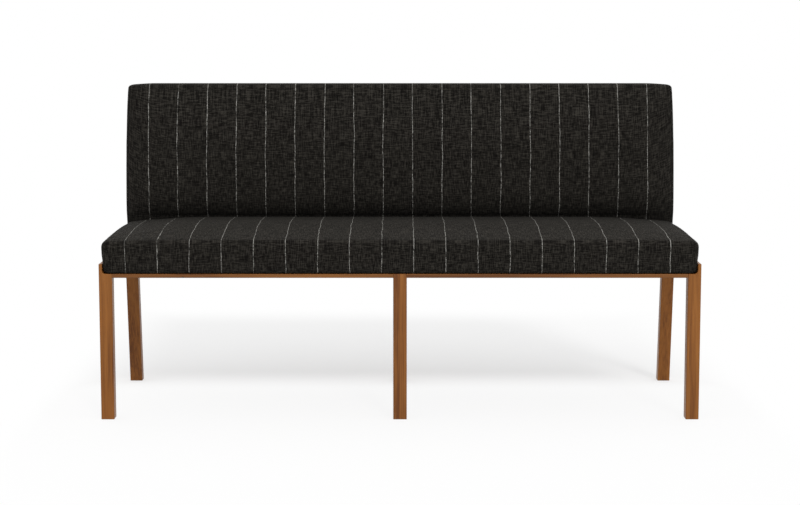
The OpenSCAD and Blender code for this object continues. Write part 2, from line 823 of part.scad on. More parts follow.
// Stations run from the bottom edge up and over to the middle of the seat, at a depth t
// under the surface: [inset, height, 1 on the wall or 0 over the edge].
swell_z = seat_top_z - seat_crown - seat_edge_r;
arc_shares = [0, 0.5, 1];
wall_shares = [0.5];
round_shares = [0, 0.25, 0.5, 0.75, 1];
crown_shares = [0.15, 0.45, 1];
function seat_wall(t) = concat(
    [for (s = arc_shares) let (a = 90 * s) [
        seat_bulge + base_edge_r - (base_edge_r - t) * sin(a),
        tray_top_z + base_edge_r - (base_edge_r - t) * cos(a), 1
    ]],
    [[seat_bulge + t, lip_top_z, 1]],
    [for (s = wall_shares) [seat_bulge * pow(1 - s, 2) + t, lip_top_z + (swell_z - lip_top_z) * s, 1]]
);
function seat_over(t) = concat(
    [for (s = round_shares) [seat_edge_r - (seat_edge_r - t) * cos(90 * s), 0, 0]],
    [for (s = crown_shares) [seat_edge_r + (crown_reach - seat_edge_r) * s, 0, 0]]
);

// One ring of the seat. At the rear it is drawn in only a little.
rear_round_share = 0.1;
rear_run_share = 0.9;
function rear_far_y(inset, t) =
    seat_back_y - t - rear_round_share * (min(inset, seat_edge_r) - t)
        - rear_run_share * max(inset - seat_edge_r, 0);
// Fall of an edge of some radius at an inset, and how much of a point near a front corner
// belongs to the front edge
function round_fall(inset, r, t) =
    inset < r ? r - sqrt(max(pow(r - t, 2) - pow(r - inset, 2), 0)) : t;
function front_share(x, y) =
    let (from_side = seat_hx - abs(x), from_front = y - seat_front_y)
    from_side * from_side / (from_side * from_side + from_front * from_front);
function seat_ring(station, t) =
    let (
        inset = station[0],
        far = rear_far_y(inset, t),
        r = max(seat_corner_r - inset, least_r),
        tight = max(tight_r - inset, least_r),
        flat = ring(seat_hx - inset, seat_front_y + inset, far, r, tight, short_shares),
        share = (station[1] - tray_top_z) / (swell_z - tray_top_z)
    )
    [for (p = flat)
        let (
            top = seat_surface_z(p[0], p[1]),
            edge_r = seat_side_r + (seat_edge_r - seat_side_r) * front_share(p[0], p[1]),
            side_z = top - round_fall(inset, edge_r, t),
            side_fall = round_fall(max(seat_hx - abs(p[0]), t), seat_side_r, t),
            rear_z = top - max(t + rear_round_share * (round_fall(inset, seat_edge_r, t) - t), side_fall),
            wall_z = p[2] == 1 ? tray_top_z + share * (rear_z - tray_top_z) : station[1],
            over_z = p[2] == 1 ? rear_z : side_z
        )
        [p[0], p[1], station[2] == 1 ? wall_z : over_z]
    ];

function reversed(list) = [for (i = [len(list) - 1 : -1 : 0]) list[i]];

// The room that the seat frame, its springs and its felt take up, open to the rear
module seat_frame_room() {
    block(
        [-frame_x - soft_gap, frame_front_y - soft_gap, frame_z],
        [frame_x + soft_gap, seat_back_y + overrun, foam_floor_z]
    );
}

module seat_foam() {
    t = cloth_t + soft_gap;
    color(foam_colour) difference() {
        skin([for (station = concat(seat_wall(t), seat_over(t))) seat_ring(station, t)]);
        seat_frame_room();
    }
}

turned = seat_bulge + turn_in_w;
module seat_cover() {
    outside = concat([[turned, tray_top_z, 1]], seat_wall(0), seat_over(0));
    inside = concat([[turned, frame_z, 1]], seat_wall(cloth_t), seat_over(cloth_t));
    color(cloth_colour) difference() {
        skin(concat(
            [for (station = reversed(inside)) seat_ring(station, cloth_t)],
            [for (station = outside) seat_ring(station, 0)]
        ), len(inside) - 1);
        seat_frame_room();
        front_bolt_places() bolt_hole(tray_z, foam_floor_z - cloth_t, $fn = cloth_hole_sides);
        tray_screw_places() cloth_screw_hole();
    }
}

module cloth_screw_hole() {
    translate([0, 0, tray_z])
        cylinder(h = rail_t + cloth_t + overrun, d = screw_d + 2 * bolt_gap, $fn = cloth_hole_sides);
}

module seat_dust_cover() {
    edge_x = lip_in_x - soft_gap - turn_in_w - soft_gap;
    color(lining_colour) difference() {
        block(
            [-edge_x, front_y + soft_gap + turn_in_w + soft_gap, tray_top_z],
            [edge_x, rear_far_y(turned, cloth_t) - soft_gap, frame_z]
        );
        front_bolt_places() bolt_hole(tray_z, foam_floor_z, $fn = cloth_hole_sides);
        tray_screw_places() cloth_screw_hole();
    }
}

// A back post: upright below, where it is bolted to the seat frame, and leaning above
module post(x0) {
    top_z = back_frame_top_z - back_rail_h;
    tenon_y = layer_y(top_z, (frame_front_n + frame_rear_n + back_tenon_t) / 2);
    difference() {
        union() {
            profile_x(x0, x0 + post_w, [
                [post_front_y, post_z],
                [post_front_y, frame_top_z],
                [layer_y(post_notch_z, back_t - cloth_t - soft_gap), post_notch_z],
                [layer_y(post_notch_z, frame_front_n), post_notch_z],
                [layer_y(top_z, frame_front_n), top_z],
                [layer_y(top_z, frame_rear_n), top_z],
                [layer_y(post_z, frame_rear_n), post_z],
            ]);
            block(
                [x0 + post_w / 4, tenon_y, top_z - overrun],
                [x0 + 3 * post_w / 4, tenon_y + back_tenon_t, top_z + back_tenon_l]
            );
        }
        rear_bolt_places() insert_hole();
        back_bolt_places() {
            translate([0, $seat_y + overrun, 0]) rotate([90, 0, 0])
                cylinder(h = back_t, d = bolt_d + 2 * bolt_gap);
            translate([0, $seat_y, 0]) rotate([-90, 0, 0])
                cylinder(h = back_t, d = bolt_head_d + 2 * bolt_gap);
        }
        for (side = [-1, 1]) bottom_rail_tenon_cut(x0 + post_w / 2 + side * post_w / 2, side);
    }
}

bottom_rail_z = post_notch_z + overrun;
bottom_tenon_z = bottom_rail_z + (back_rail_h - back_tenon_t) / 2;
bottom_tenon_y = layer_y(bottom_tenon_z, (frame_front_n + frame_rear_n + back_tenon_t) / 2);
bottom_tenon_l = post_w / 3;

// A mortise for a bottom rail in the face of a post at x, cut towards its inside
module bottom_rail_tenon_cut(x, side) {
    if (abs(x) < frame_x - overrun) {
        inside = x - side * bottom_tenon_l;
        outside = x + side * overrun;
        mortise(
            [min(inside, outside), bottom_tenon_y, bottom_tenon_z],
            [max(inside, outside), bottom_tenon_y + back_tenon_t, bottom_tenon_z + back_tenon_t]
        );
    }
}

module back_post_left() color(frame_wood) post(-frame_x);

module back_post_centre() color(frame_wood) post(-post_w / 2);

module back_post_right() color(frame_wood) post(frame_x - post_w);

// The outline of a back rail between two heights
function back_rail_outline(z0, z1) = [
    [layer_y(z0, frame_front_n), z0],
    [layer_y(z1, frame_front_n), z1],
    [layer_y(z1, frame_rear_n), z1],
    [layer_y(z0, frame_rear_n), z0],
];

module back_top_rail() {
    low_z = back_frame_top_z - back_rail_h;
    tenon_y = layer_y(low_z, (frame_front_n + frame_rear_n + back_tenon_t) / 2);
    color(frame_wood) difference() {
        profile_x(-frame_x, frame_x, back_rail_outline(low_z, back_frame_top_z));
        for (x0 = [-frame_x, -post_w / 2, frame_x - post_w]) mortise(
            [x0 + post_w / 4, tenon_y, low_z - overrun],
            [x0 + 3 * post_w / 4, tenon_y + back_tenon_t, low_z + back_tenon_l]
        );
    }
}

module back_bottom_rail() {
    color(frame_wood) {
        profile_x(post_w / 2, back_rail_x, back_rail_outline(bottom_rail_z, bottom_rail_z + back_rail_h));
        block(
            [post_w / 2 - bottom_tenon_l, bottom_tenon_y, bottom_tenon_z],
            [back_rail_x + bottom_tenon_l, bottom_tenon_y + back_tenon_t, bottom_tenon_z + back_tenon_t]
        );
    }
}

module back_bottom_rail_right() back_bottom_rail();

module back_bottom_rail_left() mirror([1, 0, 0]) back_bottom_rail();

module back_webbing() {
    low_z = bottom_rail_z;
    high_z = back_frame_top_z;
    color(jute_colour) both_sides() for (i = [0 : straps_a_side - 1]) {
        x = post_w / 2 + (i + 0.5) * strap_pitch;
        profile_x(x - strap_w / 2, x + strap_w / 2, [
            [layer_y(low_z, frame_front_n), low_z],
            [layer_y(low_z, pad_n), low_z],
            [layer_y(high_z, pad_n), high_z],
            [layer_y(high_z, frame_front_n), high_z],
        ]);
    }
}

// The back's front: a swell that begins above the seat and dies out at the edges
back_hx = lip_in_x - 2 * soft_gap;
crease_z = seat_top_z - seat_rear_drop - crease_set;
swell_mid_z = (back_top_z + crease_z) / 2;
swell_half = (back_top_z - crease_z) / 2;
side_power = 2.2;
bulge_power = 10;
bulge_top_power = 4;
bulge_top_share = 0.93;
function back_swell(x, z) =
    let (
        rise = 1 - pow((z - swell_mid_z) / swell_half, 2),
        near = min(max(back_hx - abs(x), 0), back_reach)
    )
    back_crown * max(rise, 0) * (1 - pow(1 - near / back_reach, side_power));
function side_swell(z) =
    let (t = min(max((z - lip_top_z) / (back_top_z - lip_top_z), 0), 1))
    back_bulge * (1 - pow(1 - t, bulge_power)) * (1 - bulge_top_share * pow(t, bulge_top_power));
function top_fall(x) =
    let (run = max(abs(x) - back_hx + corner_drop_l, 0))
    corner_drop * run / corner_drop_l;

// One point of the back: x and z from its ring, and n forward of the rear plane
function back_point(p, n, swell, t) =
    let (
        x = p[0] * (1 + side_swell(p[1]) / back_hx),
        high = max((p[1] - swell_mid_z) / swell_half, 0),
        z = p[1] - top_fall(p[0]) * high,
        y = back_rear_y(z) - n - swell * back_swell(p[0], p[1])
    )
    [x, max(y, seat_back_y + t), z];

// Stations of the back at a depth t: [inset, n, share of the swell, inset at the bottom]
back_round_shares = [0, 0.33, 0.67, 1];
low_share = 0.3;
high_shares = [0.3, 0.65, 0.98];
function back_over(t) =
    let (
        crease = crease_z - tray_top_z,
        half = (back_top_z - tray_top_z) / 2,
        low_r = rear_round_share * back_edge_r,
        knee_share = (frame_top_z - tray_top_z - low_r) / (crease - low_r),
        curve = back_edge_r - t
    )
    concat(
        [for (s = back_round_shares) let (a = 90 * s, inset = back_edge_r - curve * cos(a)) [
            inset, back_t - back_edge_r + curve * sin(a), s, t + rear_round_share * (inset - t)
        ]],
        [for (s = [low_share, knee_share, 1]) [
            back_edge_r + (crease - back_edge_r) * s, back_t - t, 1, low_r + (crease - low_r) * s
        ]],
        [for (s = high_shares) let (inset = crease + (half - crease) * s) [inset, back_t - t, 1, inset]]
    );

// One ring of the back, with points on each side where the frame begins to lean and
// where the lip ends
knee_limit_share = 0.85;
lip_limit_share = 0.98;
function back_ring(station, t) =
    let (
        inset = station[0],
        near = tray_top_z + station[3],
        far = back_top_z - inset,
        mid = (near + far) / 2,
        r = max(base_edge_r - station[3], least_r),
        knee_share = min((mid - frame_top_z) / (mid - near - r), knee_limit_share),
        lip_share = min((mid - lip_top_z) / (mid - near - r), lip_limit_share),
        near_shares = [0, knee_share, lip_share, 1],
        flat = ring(back_hx - inset, near, far, r, max(back_corner_r - inset, least_r), near_shares)
    )
    [for (p = flat) back_point(p, station[1], station[2], t)];

// A station on the cloth that is turned in behind the back
function back_fold(inset, n) = [inset, n, 0, inset];

module back_cover() {
    t = cloth_t;
    outside = concat(
        [back_fold(back_turn_in_w, 0), back_fold(rear_edge_r, 0), [0, rear_edge_r, 0, 0]], back_over(0)
    );
    inside = concat(
        [back_fold(back_turn_in_w, t), back_fold(rear_edge_r, t), [t, rear_edge_r, 0, t]], back_over(t)
    );
    color(cloth_colour) difference() {
        skin(concat(
            [for (station = reversed(inside)) back_ring(station, t)],
            [for (station = outside) back_ring(station, 0)]
        ), len(inside) - 1);
        rear_bolt_places() bolt_hole(tray_z, frame_z + overrun, $fn = cloth_hole_sides);
        back_bolt_places() translate([0, seat_back_y - overrun, 0]) rotate([-90, 0, 0])
            cylinder(h = cloth_t + 3 * overrun, d = bolt_d + 2 * bolt_gap, $fn = cloth_hole_sides);
    }
}

// The back's foam: a crowned pad that wraps the sides and the top of the frame. Its
// bottom edge lies over the notches of the posts.
foam_low_z = bottom_rail_z;
module back_foam() {
    t = cloth_t + soft_gap;
    seat_n = pad_n + soft_gap;
    rear_n = frame_rear_n + soft_gap;
    low_z = foam_low_z - overrun;
    high_z = back_frame_top_z + soft_gap;
    half_x = frame_x + soft_gap;
    color(foam_colour) difference() {
        skin([for (station = concat([[t, rear_n, 0, t]], back_over(t))) back_ring(station, t)]);
        block(
            [-leg_x, seat_back_y - overrun, tray_top_z - overrun],
            [leg_x, back_rear_y(foam_low_z) + overrun, foam_low_z]
        );
        profile_x(-half_x, half_x, [
            [layer_y(low_z, seat_n), low_z],
            [layer_y(high_z, seat_n), high_z],
            [back_rear_y(high_z) + overrun, high_z],
            [back_rear_y(low_z) + overrun, low_z],
        ]);
    }
}

module back_board() {
    low_z = tray_top_z + rear_edge_r;
    color(board_colour) profile_x(-frame_x, frame_x, [
        [layer_y(low_z, frame_rear_n), low_z],
        [layer_y(back_frame_top_z, frame_rear_n), back_frame_top_z],
        [layer_y(back_frame_top_z, cloth_t), back_frame_top_z],
        [layer_y(low_z, cloth_t), low_z],
    ]);
}

module back_outside_cover() {
    edge_x = back_hx - back_turn_in_w - soft_gap;
    low_z = tray_top_z + back_turn_in_w + soft_gap;
    high_z = back_top_z - corner_drop - back_turn_in_w - soft_gap;
    color(cloth_colour) profile_x(-edge_x, edge_x, [
        [layer_y(low_z, cloth_t), low_z],
        [layer_y(high_z, cloth_t), high_z],
        [back_rear_y(high_z), high_z],
        [back_rear_y(low_z), low_z],
    ]);
}

module back_bolts() {
    color(steel) back_bolt_places() translate([0, $seat_y, 0]) {
        rotate([-90, 0, 0]) cylinder(h = bolt_head_t, d = bolt_head_d);
        rotate([90, 0, 0]) cylinder(h = $seat_y - seat_back_y + back_bolt_l, d = bolt_d);
    }
}

front_leg_left();
front_leg_right();
front_leg_centre();
rear_leg_left();
rear_leg_right();
rear_leg_centre();
front_rail_left();
front_rail_right();
side_rail_left();
side_rail_right();
centre_rail();
rear_rail();
leg_glides();
leg_bolts();
leg_bolt_inserts();
tray_screws();
seat_frame_front();
seat_frame_rear();
seat_frame_left();
seat_frame_right();
seat_frame_centre();
seat_corner_blocks();
seat_springs();
spring_clips();
seat_deck_felt();
seat_foam();
seat_cover();
seat_dust_cover();
back_post_left();
back_post_centre();
back_post_right();
back_top_rail();
back_bottom_rail_left();
back_bottom_rail_right();
back_webbing();
back_foam();
back_cover();
back_board();
back_outside_cover();
back_bolts();
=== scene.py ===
"""Upholstered banquette bench: cloth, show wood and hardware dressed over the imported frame."""

import logging
import math
from dataclasses import dataclass, field
from enum import Enum
from typing import Any, Callable, ClassVar, Iterable, Sequence

import bpy
import numpy as np
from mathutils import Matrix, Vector


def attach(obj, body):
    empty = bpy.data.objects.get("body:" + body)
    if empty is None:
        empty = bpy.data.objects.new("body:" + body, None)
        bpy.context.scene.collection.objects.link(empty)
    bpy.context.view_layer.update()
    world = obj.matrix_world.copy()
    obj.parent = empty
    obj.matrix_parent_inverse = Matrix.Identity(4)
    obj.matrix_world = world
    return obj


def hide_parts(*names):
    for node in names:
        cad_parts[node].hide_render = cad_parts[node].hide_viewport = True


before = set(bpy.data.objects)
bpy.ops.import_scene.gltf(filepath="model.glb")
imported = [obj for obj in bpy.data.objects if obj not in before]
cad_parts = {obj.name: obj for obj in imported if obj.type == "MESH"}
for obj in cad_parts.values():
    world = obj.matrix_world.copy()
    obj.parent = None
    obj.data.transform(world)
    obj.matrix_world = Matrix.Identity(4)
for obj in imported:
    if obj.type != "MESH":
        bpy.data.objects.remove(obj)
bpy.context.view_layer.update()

log = logging.getLogger("banquette")
Colour = tuple[float, float, float]
Triple = tuple[float, float, float]
Span = tuple[float, float, float, float]  # A smooth map: where it starts and ends, and its results there.
Socket = Any

# The cloth's marks are stored raised by these, so that an unmarked piece, which reads 0, has no stripe or seam.
ACROSS_SHIFT = 2.0
SEAM_SHIFT = 1.0
FAR_FROM_SEAM = 0.5


def srgb(red: int, green: int, blue: int) -> Colour:
    """Turns an 8-bit display colour into the linear values that shaders take.

    Args:
        red: Red, 0 to 255.
        green: Green, 0 to 255.
        blue: Blue, 0 to 255.

    Returns:
        The linear colour.
    """
    def linear(value: int) -> float:
        """One channel in linear light."""
        share = value / 255
        return share / 12.92 if share <= 0.04045 else ((share + 0.055) / 1.055) ** 2.4

    return linear(red), linear(green), linear(blue)


# ---------------------------------------------------------------- node building


class Graph:
    """A node tree that is written as sums: each method adds a node and returns its output."""

    def __init__(self, tree: bpy.types.NodeTree) -> None:
        """Keeps the tree.

        Args:
            tree: The material's or the group's tree.
        """
        self.tree = tree

    def node(self, kind: str, **values: Any) -> bpy.types.Node:
        """Adds a node and sets its properties.

        Args:
            kind: The node's type name.
            values: Properties by name.

        Returns:
            The new node.
        """
        made = self.tree.nodes.new(kind)
        for name, value in values.items():
            setattr(made, name, value)
        return made

    def put(self, socket: bpy.types.NodeSocket, value: Socket) -> None:
        """Links an output to a socket, or sets the socket to a plain value.

        Args:
            socket: The input socket.
            value: An output socket, a number or a tuple.
        """
        if isinstance(value, bpy.types.NodeSocket):
            self.tree.links.new(value, socket)
        elif isinstance(value, tuple) and len(value) == 3 and socket.type == "RGBA":
            socket.default_value = (*value, 1)
        else:
            socket.default_value = value

    def math(self, operation: str, *values: Socket, clamp: bool = False) -> Socket:
        """A Math node.

        Args:
            operation: The operation's name.
            values: Its one to three inputs.
            clamp: Whether the result is held between 0 and 1.

        Returns:
            The result's socket.
        """
        made = self.node("ShaderNodeMath", operation=operation, use_clamp=clamp)
        for socket, value in zip(made.inputs, values):
            self.put(socket, value)
        return made.outputs[0]

    def remap(self, value: Socket, low: float, high: float, out_low: float, out_high: float) -> Socket:
        """A smooth Map Range from low..high to out_low..out_high.

        Args:
            value: What is mapped.
            low: Start of the input range.
            high: End of the input range.
            out_low: Result at the start.
            out_high: Result at the end.

        Returns:
            The result's socket.
        """
        made = self.node("ShaderNodeMapRange", interpolation_type="SMOOTHSTEP")
        for socket, given in zip(made.inputs, (value, low, high, out_low, out_high)):
            self.put(socket, given)
        return made.outputs[0]

    def mapping(self, vector: Socket, scale: Sequence[float], turn: Sequence[float] = (0, 0, 0),
                shift: Sequence[float] = (0, 0, 0)) -> Socket:
        """A Mapping node.

        Args:
            vector: What is mapped.
            scale: Scale on each axis.
            turn: Rotation on each axis, in radians.
            shift: Offset on each axis.

        Returns:
            The mapped vector's socket.
        """
        made = self.node("ShaderNodeMapping")
        for name, value in (("Vector", vector), ("Location", tuple(shift)), ("Rotation", tuple(turn)),
                            ("Scale", tuple(scale))):
            self.put(made.inputs[name], value)
        return made.outputs[0]

    def noise(self, vector: Socket, detail: float = 2, roughness: float = 0.5, distortion: float = 0) -> Socket:
        """A Noise Texture's value, at a scale of 1.

        Args:
            vector: Where it is read, already scaled.
            detail: Its octaves.
            roughness: How strong the small octaves are.
            distortion: How far it is warped.

        Returns:
            The value's socket.
        """
        made = self.node("ShaderNodeTexNoise")
        for name, value in (("Vector", vector), ("Scale", 1), ("Detail", detail),
                            ("Roughness", roughness), ("Distortion", distortion)):
            self.put(made.inputs[name], value)
        return made.outputs[0]

    def mix(self, factor: Socket, first: Socket, second: Socket) -> Socket:
        """A colour Mix node.

        Args:
            factor: How much of the second colour.
            first: The first colour.
            second: The second colour.

        Returns:
            The mixed colour's socket.
        """
        made = self.node("ShaderNodeMix", data_type="RGBA")
        for socket, value in ((made.inputs[0], factor), (made.inputs[6], first), (made.inputs[7], second)):
            self.put(socket, value)
        return made.outputs[2]

    def split(self, vector: Socket) -> tuple[Socket, Socket, Socket]:
        """The three parts of a vector.

        Args:
            vector: The vector's socket.

        Returns:
            Its X, Y and Z sockets.
        """
        made = self.node("ShaderNodeSeparateXYZ")
        self.put(made.inputs[0], vector)
        return tuple(made.outputs)

    def shader_mix(self, factor: Socket, first: bpy.types.Node, second: bpy.types.Node) -> bpy.types.Node:
        """A Mix Shader node.

        Args:
            factor: How much of the second shader.
            first: The first shader's node.
            second: The second shader's node.

        Returns:
            The mixed shader's node.
        """
        made = self.node("ShaderNodeMixShader")
        for socket, value in zip(made.inputs, (factor, first.outputs[0], second.outputs[0])):
            self.put(socket, value)
        return made

    def thread(self, place: Socket, pitch: Socket) -> Socket:
        """How near a place lies to the middle of its thread: 1 in the middle and 0 between two threads.

        Args:
            place: The place across the threads.
            pitch: The threads' pitch.

        Returns:
            The share's socket.
        """
        turn = self.math("DIVIDE", self.math("MULTIPLY", place, math.pi), pitch)
        return self.math("ABSOLUTE", self.math("SINE", turn))

    def group(self, tree: bpy.types.NodeTree, **inputs: Socket) -> bpy.types.Node:
        """A node group placed with its own values.

        Args:
            tree: The group's tree.
            inputs: Values or links by socket name, with underscores for spaces.

        Returns:
            The group's node.
        """
        made = self.node("ShaderNodeGroup", node_tree=tree)
        for name, value in inputs.items():
            self.put(made.inputs[name.replace("_", " ").capitalize()], value)
        return made

    def bump(self, height: Socket, strength: float, distance: float) -> Socket:
        """A Bump node's normal.

        Args:
            height: The height's socket.
            strength: How strong it is.
            distance: What a height of 1 stands for, in metres.

        Returns:
            The normal's socket.
        """
        made = self.node("ShaderNodeBump")
        for name, value in (("Height", height), ("Strength", strength), ("Distance", distance)):
            self.put(made.inputs[name], value)
        return made.outputs[0]


class GroupMaker:
    """Starts a shader node group with named inputs and outputs."""

    def __init__(self, name: str, inputs: Sequence[tuple[str, str, Any]], outputs: Sequence[tuple[str, str]]) -> None:
        """Makes the group's tree and its sockets.

        Args:
            name: The group's name.
            inputs: Name, socket type and default of each input.
            outputs: Name and socket type of each output.
        """
        self.tree = bpy.data.node_groups.new(name, "ShaderNodeTree")
        for title, kind, default in inputs:
            socket = self.tree.interface.new_socket(title, in_out="INPUT", socket_type=kind)
            if default is not None:
                socket.default_value = default
        for title, kind in outputs:
            self.tree.interface.new_socket(title, in_out="OUTPUT", socket_type=kind)
        self.graph = Graph(self.tree)
        self.given = self.graph.node("NodeGroupInput").outputs
        self.results = self.graph.node("NodeGroupOutput").inputs

    def give(self, **results: Socket) -> bpy.types.NodeTree:
        """Links the results and hands over the group.

        Args:
            results: Sockets by output name.

        Returns:
            The finished group.
        """
        for name, socket in results.items():
            self.graph.put(self.results[name.capitalize()], socket)
        return self.tree


VECTOR, FLOAT = "NodeSocketVector", "NodeSocketFloat"


@dataclass(frozen=True)
class Weave:
    """Plain weave with slubs in warp and weft, on cloth coordinates in metres."""

    warp: Triple = (400, 42, 1)
    weft: Triple = (42, 400, 1)
    weft_shift: Triple = (3, 7, 0)
    slub_roughness: float = 0.7
    slub_tones: Span = (0.40, 0.66, -0.3, 0.6)
    cloud: Triple = (14, 14, 14)
    cloud_tones: Span = (0.35, 0.65, 0.11, 0.19)
    bow: float = 0.004
    thread_tone: float = 0.25
    thread_height: float = 0.6
    slub_height: float = 0.4

    def build(self) -> bpy.types.NodeTree:
        """Builds the group.

        Returns:
            The group: Tone from 0 to 1 and Height from 0 to 1.
        """
        maker = GroupMaker("plain weave", [("Cloth", VECTOR, None), ("Pitch", FLOAT, 0.001), ("Slub", FLOAT, 0.5)],
                           [("Tone", FLOAT), ("Height", FLOAT)])
        g, given = maker.graph, maker.given
        cloth = given["Cloth"]
        u, v, _ = g.split(cloth)
        warp = g.noise(g.mapping(cloth, self.warp), 3, self.slub_roughness)
        weft = g.noise(g.mapping(cloth, self.weft, shift=self.weft_shift), 3, self.slub_roughness)
        cloud = g.noise(g.mapping(cloth, self.cloud), 3)
        bow = g.math("MULTIPLY", g.math("SUBTRACT", cloud, 0.5), self.bow)
        threads = g.math("MULTIPLY", *(g.thread(g.math("ADD", place, bow), given["Pitch"]) for place in (u, v)))
        slubs = g.math("ADD", g.remap(warp, *self.slub_tones), g.remap(weft, *self.slub_tones))
        ground = g.math("ADD", g.math("MULTIPLY", threads, self.thread_tone), g.remap(cloud, *self.cloud_tones))
        tone = g.math("ADD", g.math("MULTIPLY", slubs, given["Slub"]), ground, clamp=True)
        height = g.math("ADD", g.math("MULTIPLY", threads, self.thread_height),
                        g.math("MULTIPLY", slubs, self.slub_height))
        return maker.give(tone=tone, height=height)


@dataclass(frozen=True)
class Pinstripe:
    """Thin broken stripes that run along the cloth at a steady pitch across it."""

    sway: Triple = (11, 14, 1)
    sway_width: float = 0.007
    jog: Triple = (60, 130, 1)
    jog_width: float = 0.0022
    edge: Span = (0.25, 0.75, 1, 0)
    beads: Triple = (25, 260, 1)
    bead_roughness: float = 0.65
    bead_widths: Span = (0.3, 0.7, 0.5, 1.5)
    breaks: Triple = (14, 90, 1)
    break_shift: Triple = (5, 5, 0)
    break_roughness: float = 0.7
    break_tones: Span = (0.36, 0.62, 0.12, 1)

    def build(self) -> bpy.types.NodeTree:
        """Builds the group.

        Returns:
            The group: a Mask that is 1 on a stripe.
        """
        maker = GroupMaker("pinstripe", [("Cloth", VECTOR, None), ("Across", FLOAT, 0), ("Pitch", FLOAT, 0.08),
                                         ("Phase", FLOAT, 0), ("Width", FLOAT, 0.0016)], [("Mask", FLOAT)])
        g, given = maker.graph, maker.given
        cloth, pitch = given["Cloth"], given["Pitch"]

        def wander(scale: Triple, width: float) -> Socket:
            """How far a noise moves the stripe to one side."""
            return g.math("MULTIPLY", g.math("SUBTRACT", g.noise(g.mapping(cloth, scale)), 0.5), width)

        moved = g.math("ADD", wander(self.sway, self.sway_width), wander(self.jog, self.jog_width))
        moved = g.math("ADD", given["Across"], moved)
        turns = g.math("ADD", g.math("DIVIDE", moved, pitch), given["Phase"])
        off = g.math("MULTIPLY", g.math("ABSOLUTE", g.math("SUBTRACT", g.math("FRACT", turns), 0.5)), pitch)
        beads = g.noise(g.mapping(cloth, self.beads), 3, self.bead_roughness)
        wide = g.math("MULTIPLY", given["Width"], g.remap(beads, *self.bead_widths))
        body = g.remap(g.math("DIVIDE", off, wide), *self.edge)
        breaks = g.noise(g.mapping(cloth, self.breaks, shift=self.break_shift), 3, self.break_roughness)
        return maker.give(mask=g.math("MULTIPLY", body, g.remap(breaks, *self.break_tones), clamp=True))


@dataclass(frozen=True)
class Grain:
    """Straight wood grain along Z: broad bands, streaks and pores."""

    bands: Triple = (38, 38, 1.7)
    band_roughness: float = 0.55
    band_distortion: float = 0.6
    band_tones: Span = (0.3, 0.7, 0, 0.6)
    streaks: Triple = (260, 260, 7)
    streak_roughness: float = 0.6
    streak_tones: Span = (0.3, 0.7, 0, 0.42)
    fibres: Triple = (1500, 1500, 34)
    pore_tones: Span = (0.60, 0.72, 0, 1)
    streak_height: float = 0.3
    pore_depth: float = 0.7

    def build(self) -> bpy.types.NodeTree:
        """Builds the group.

        Returns:
            The group: Tone and Pores from 0 to 1, and Height.
        """
        maker = GroupMaker("straight grain", [("Vector", VECTOR, None), ("Figure", FLOAT, 1)],
                           [("Tone", FLOAT), ("Pores", FLOAT), ("Height", FLOAT)])
        g, given = maker.graph, maker.given
        place = given["Vector"]
        bands = g.noise(g.mapping(place, self.bands), 3, self.band_roughness, self.band_distortion)
        streaks = g.noise(g.mapping(place, self.streaks), 3, self.streak_roughness)
        pores = g.remap(g.noise(g.mapping(place, self.fibres)), *self.pore_tones)
        tone = g.math("ADD", g.math("MULTIPLY", g.remap(bands, *self.band_tones), given["Figure"]),
                      g.remap(streaks, *self.streak_tones), clamp=True)
        height = g.math("SUBTRACT", g.math("MULTIPLY", streaks, self.streak_height),
                        g.math("MULTIPLY", pores, self.pore_depth))
        return maker.give(tone=tone, pores=pores, height=height)


class Effects:
    """The node groups that several finishes share."""

    def __init__(self) -> None:
        """Builds each group once."""
        self.weave = Weave().build()
        self.pinstripe = Pinstripe().build()
        self.grain = Grain().build()


# ---------------------------------------------------------------- finishes


class Finish:
    """What every finish shares: a material with one Principled shader."""

    @staticmethod
    def start(name: str, roughness: float, metallic: float = 0,
              specular: float = 0.5) -> tuple[bpy.types.Material, Graph, Any]:
        """Makes a material whose uniform values stand on the shader itself.

        Args:
            name: The material's name.
            roughness: Roughness of the whole surface.
            metallic: 1 for bare metal.
            specular: Level of the reflections.

        Returns:
            The material, its graph and its shader's inputs.
        """
        material = bpy.data.materials.new(name)
        material.use_nodes = True
        tree = material.node_tree
        tree.nodes.clear()
        graph = Graph(tree)
        shader = graph.node("ShaderNodeBsdfPrincipled")
        shader.inputs["Roughness"].default_value = roughness
        shader.inputs["Metallic"].default_value = metallic
        shader.inputs["Specular IOR Level"].default_value = specular
        out = graph.node("ShaderNodeOutputMaterial")
        tree.links.new(shader.outputs[0], out.inputs["Surface"])
        return material, graph, shader.inputs


class Run(Enum):
    """Which way the grain of a piece of wood runs."""

    ALONG_X = (0.0, math.pi / 2, 0.0)
    ALONG_Y = (math.pi / 2, 0.0, 0.0)
    UPRIGHT = (0.0, 0.0, 0.0)


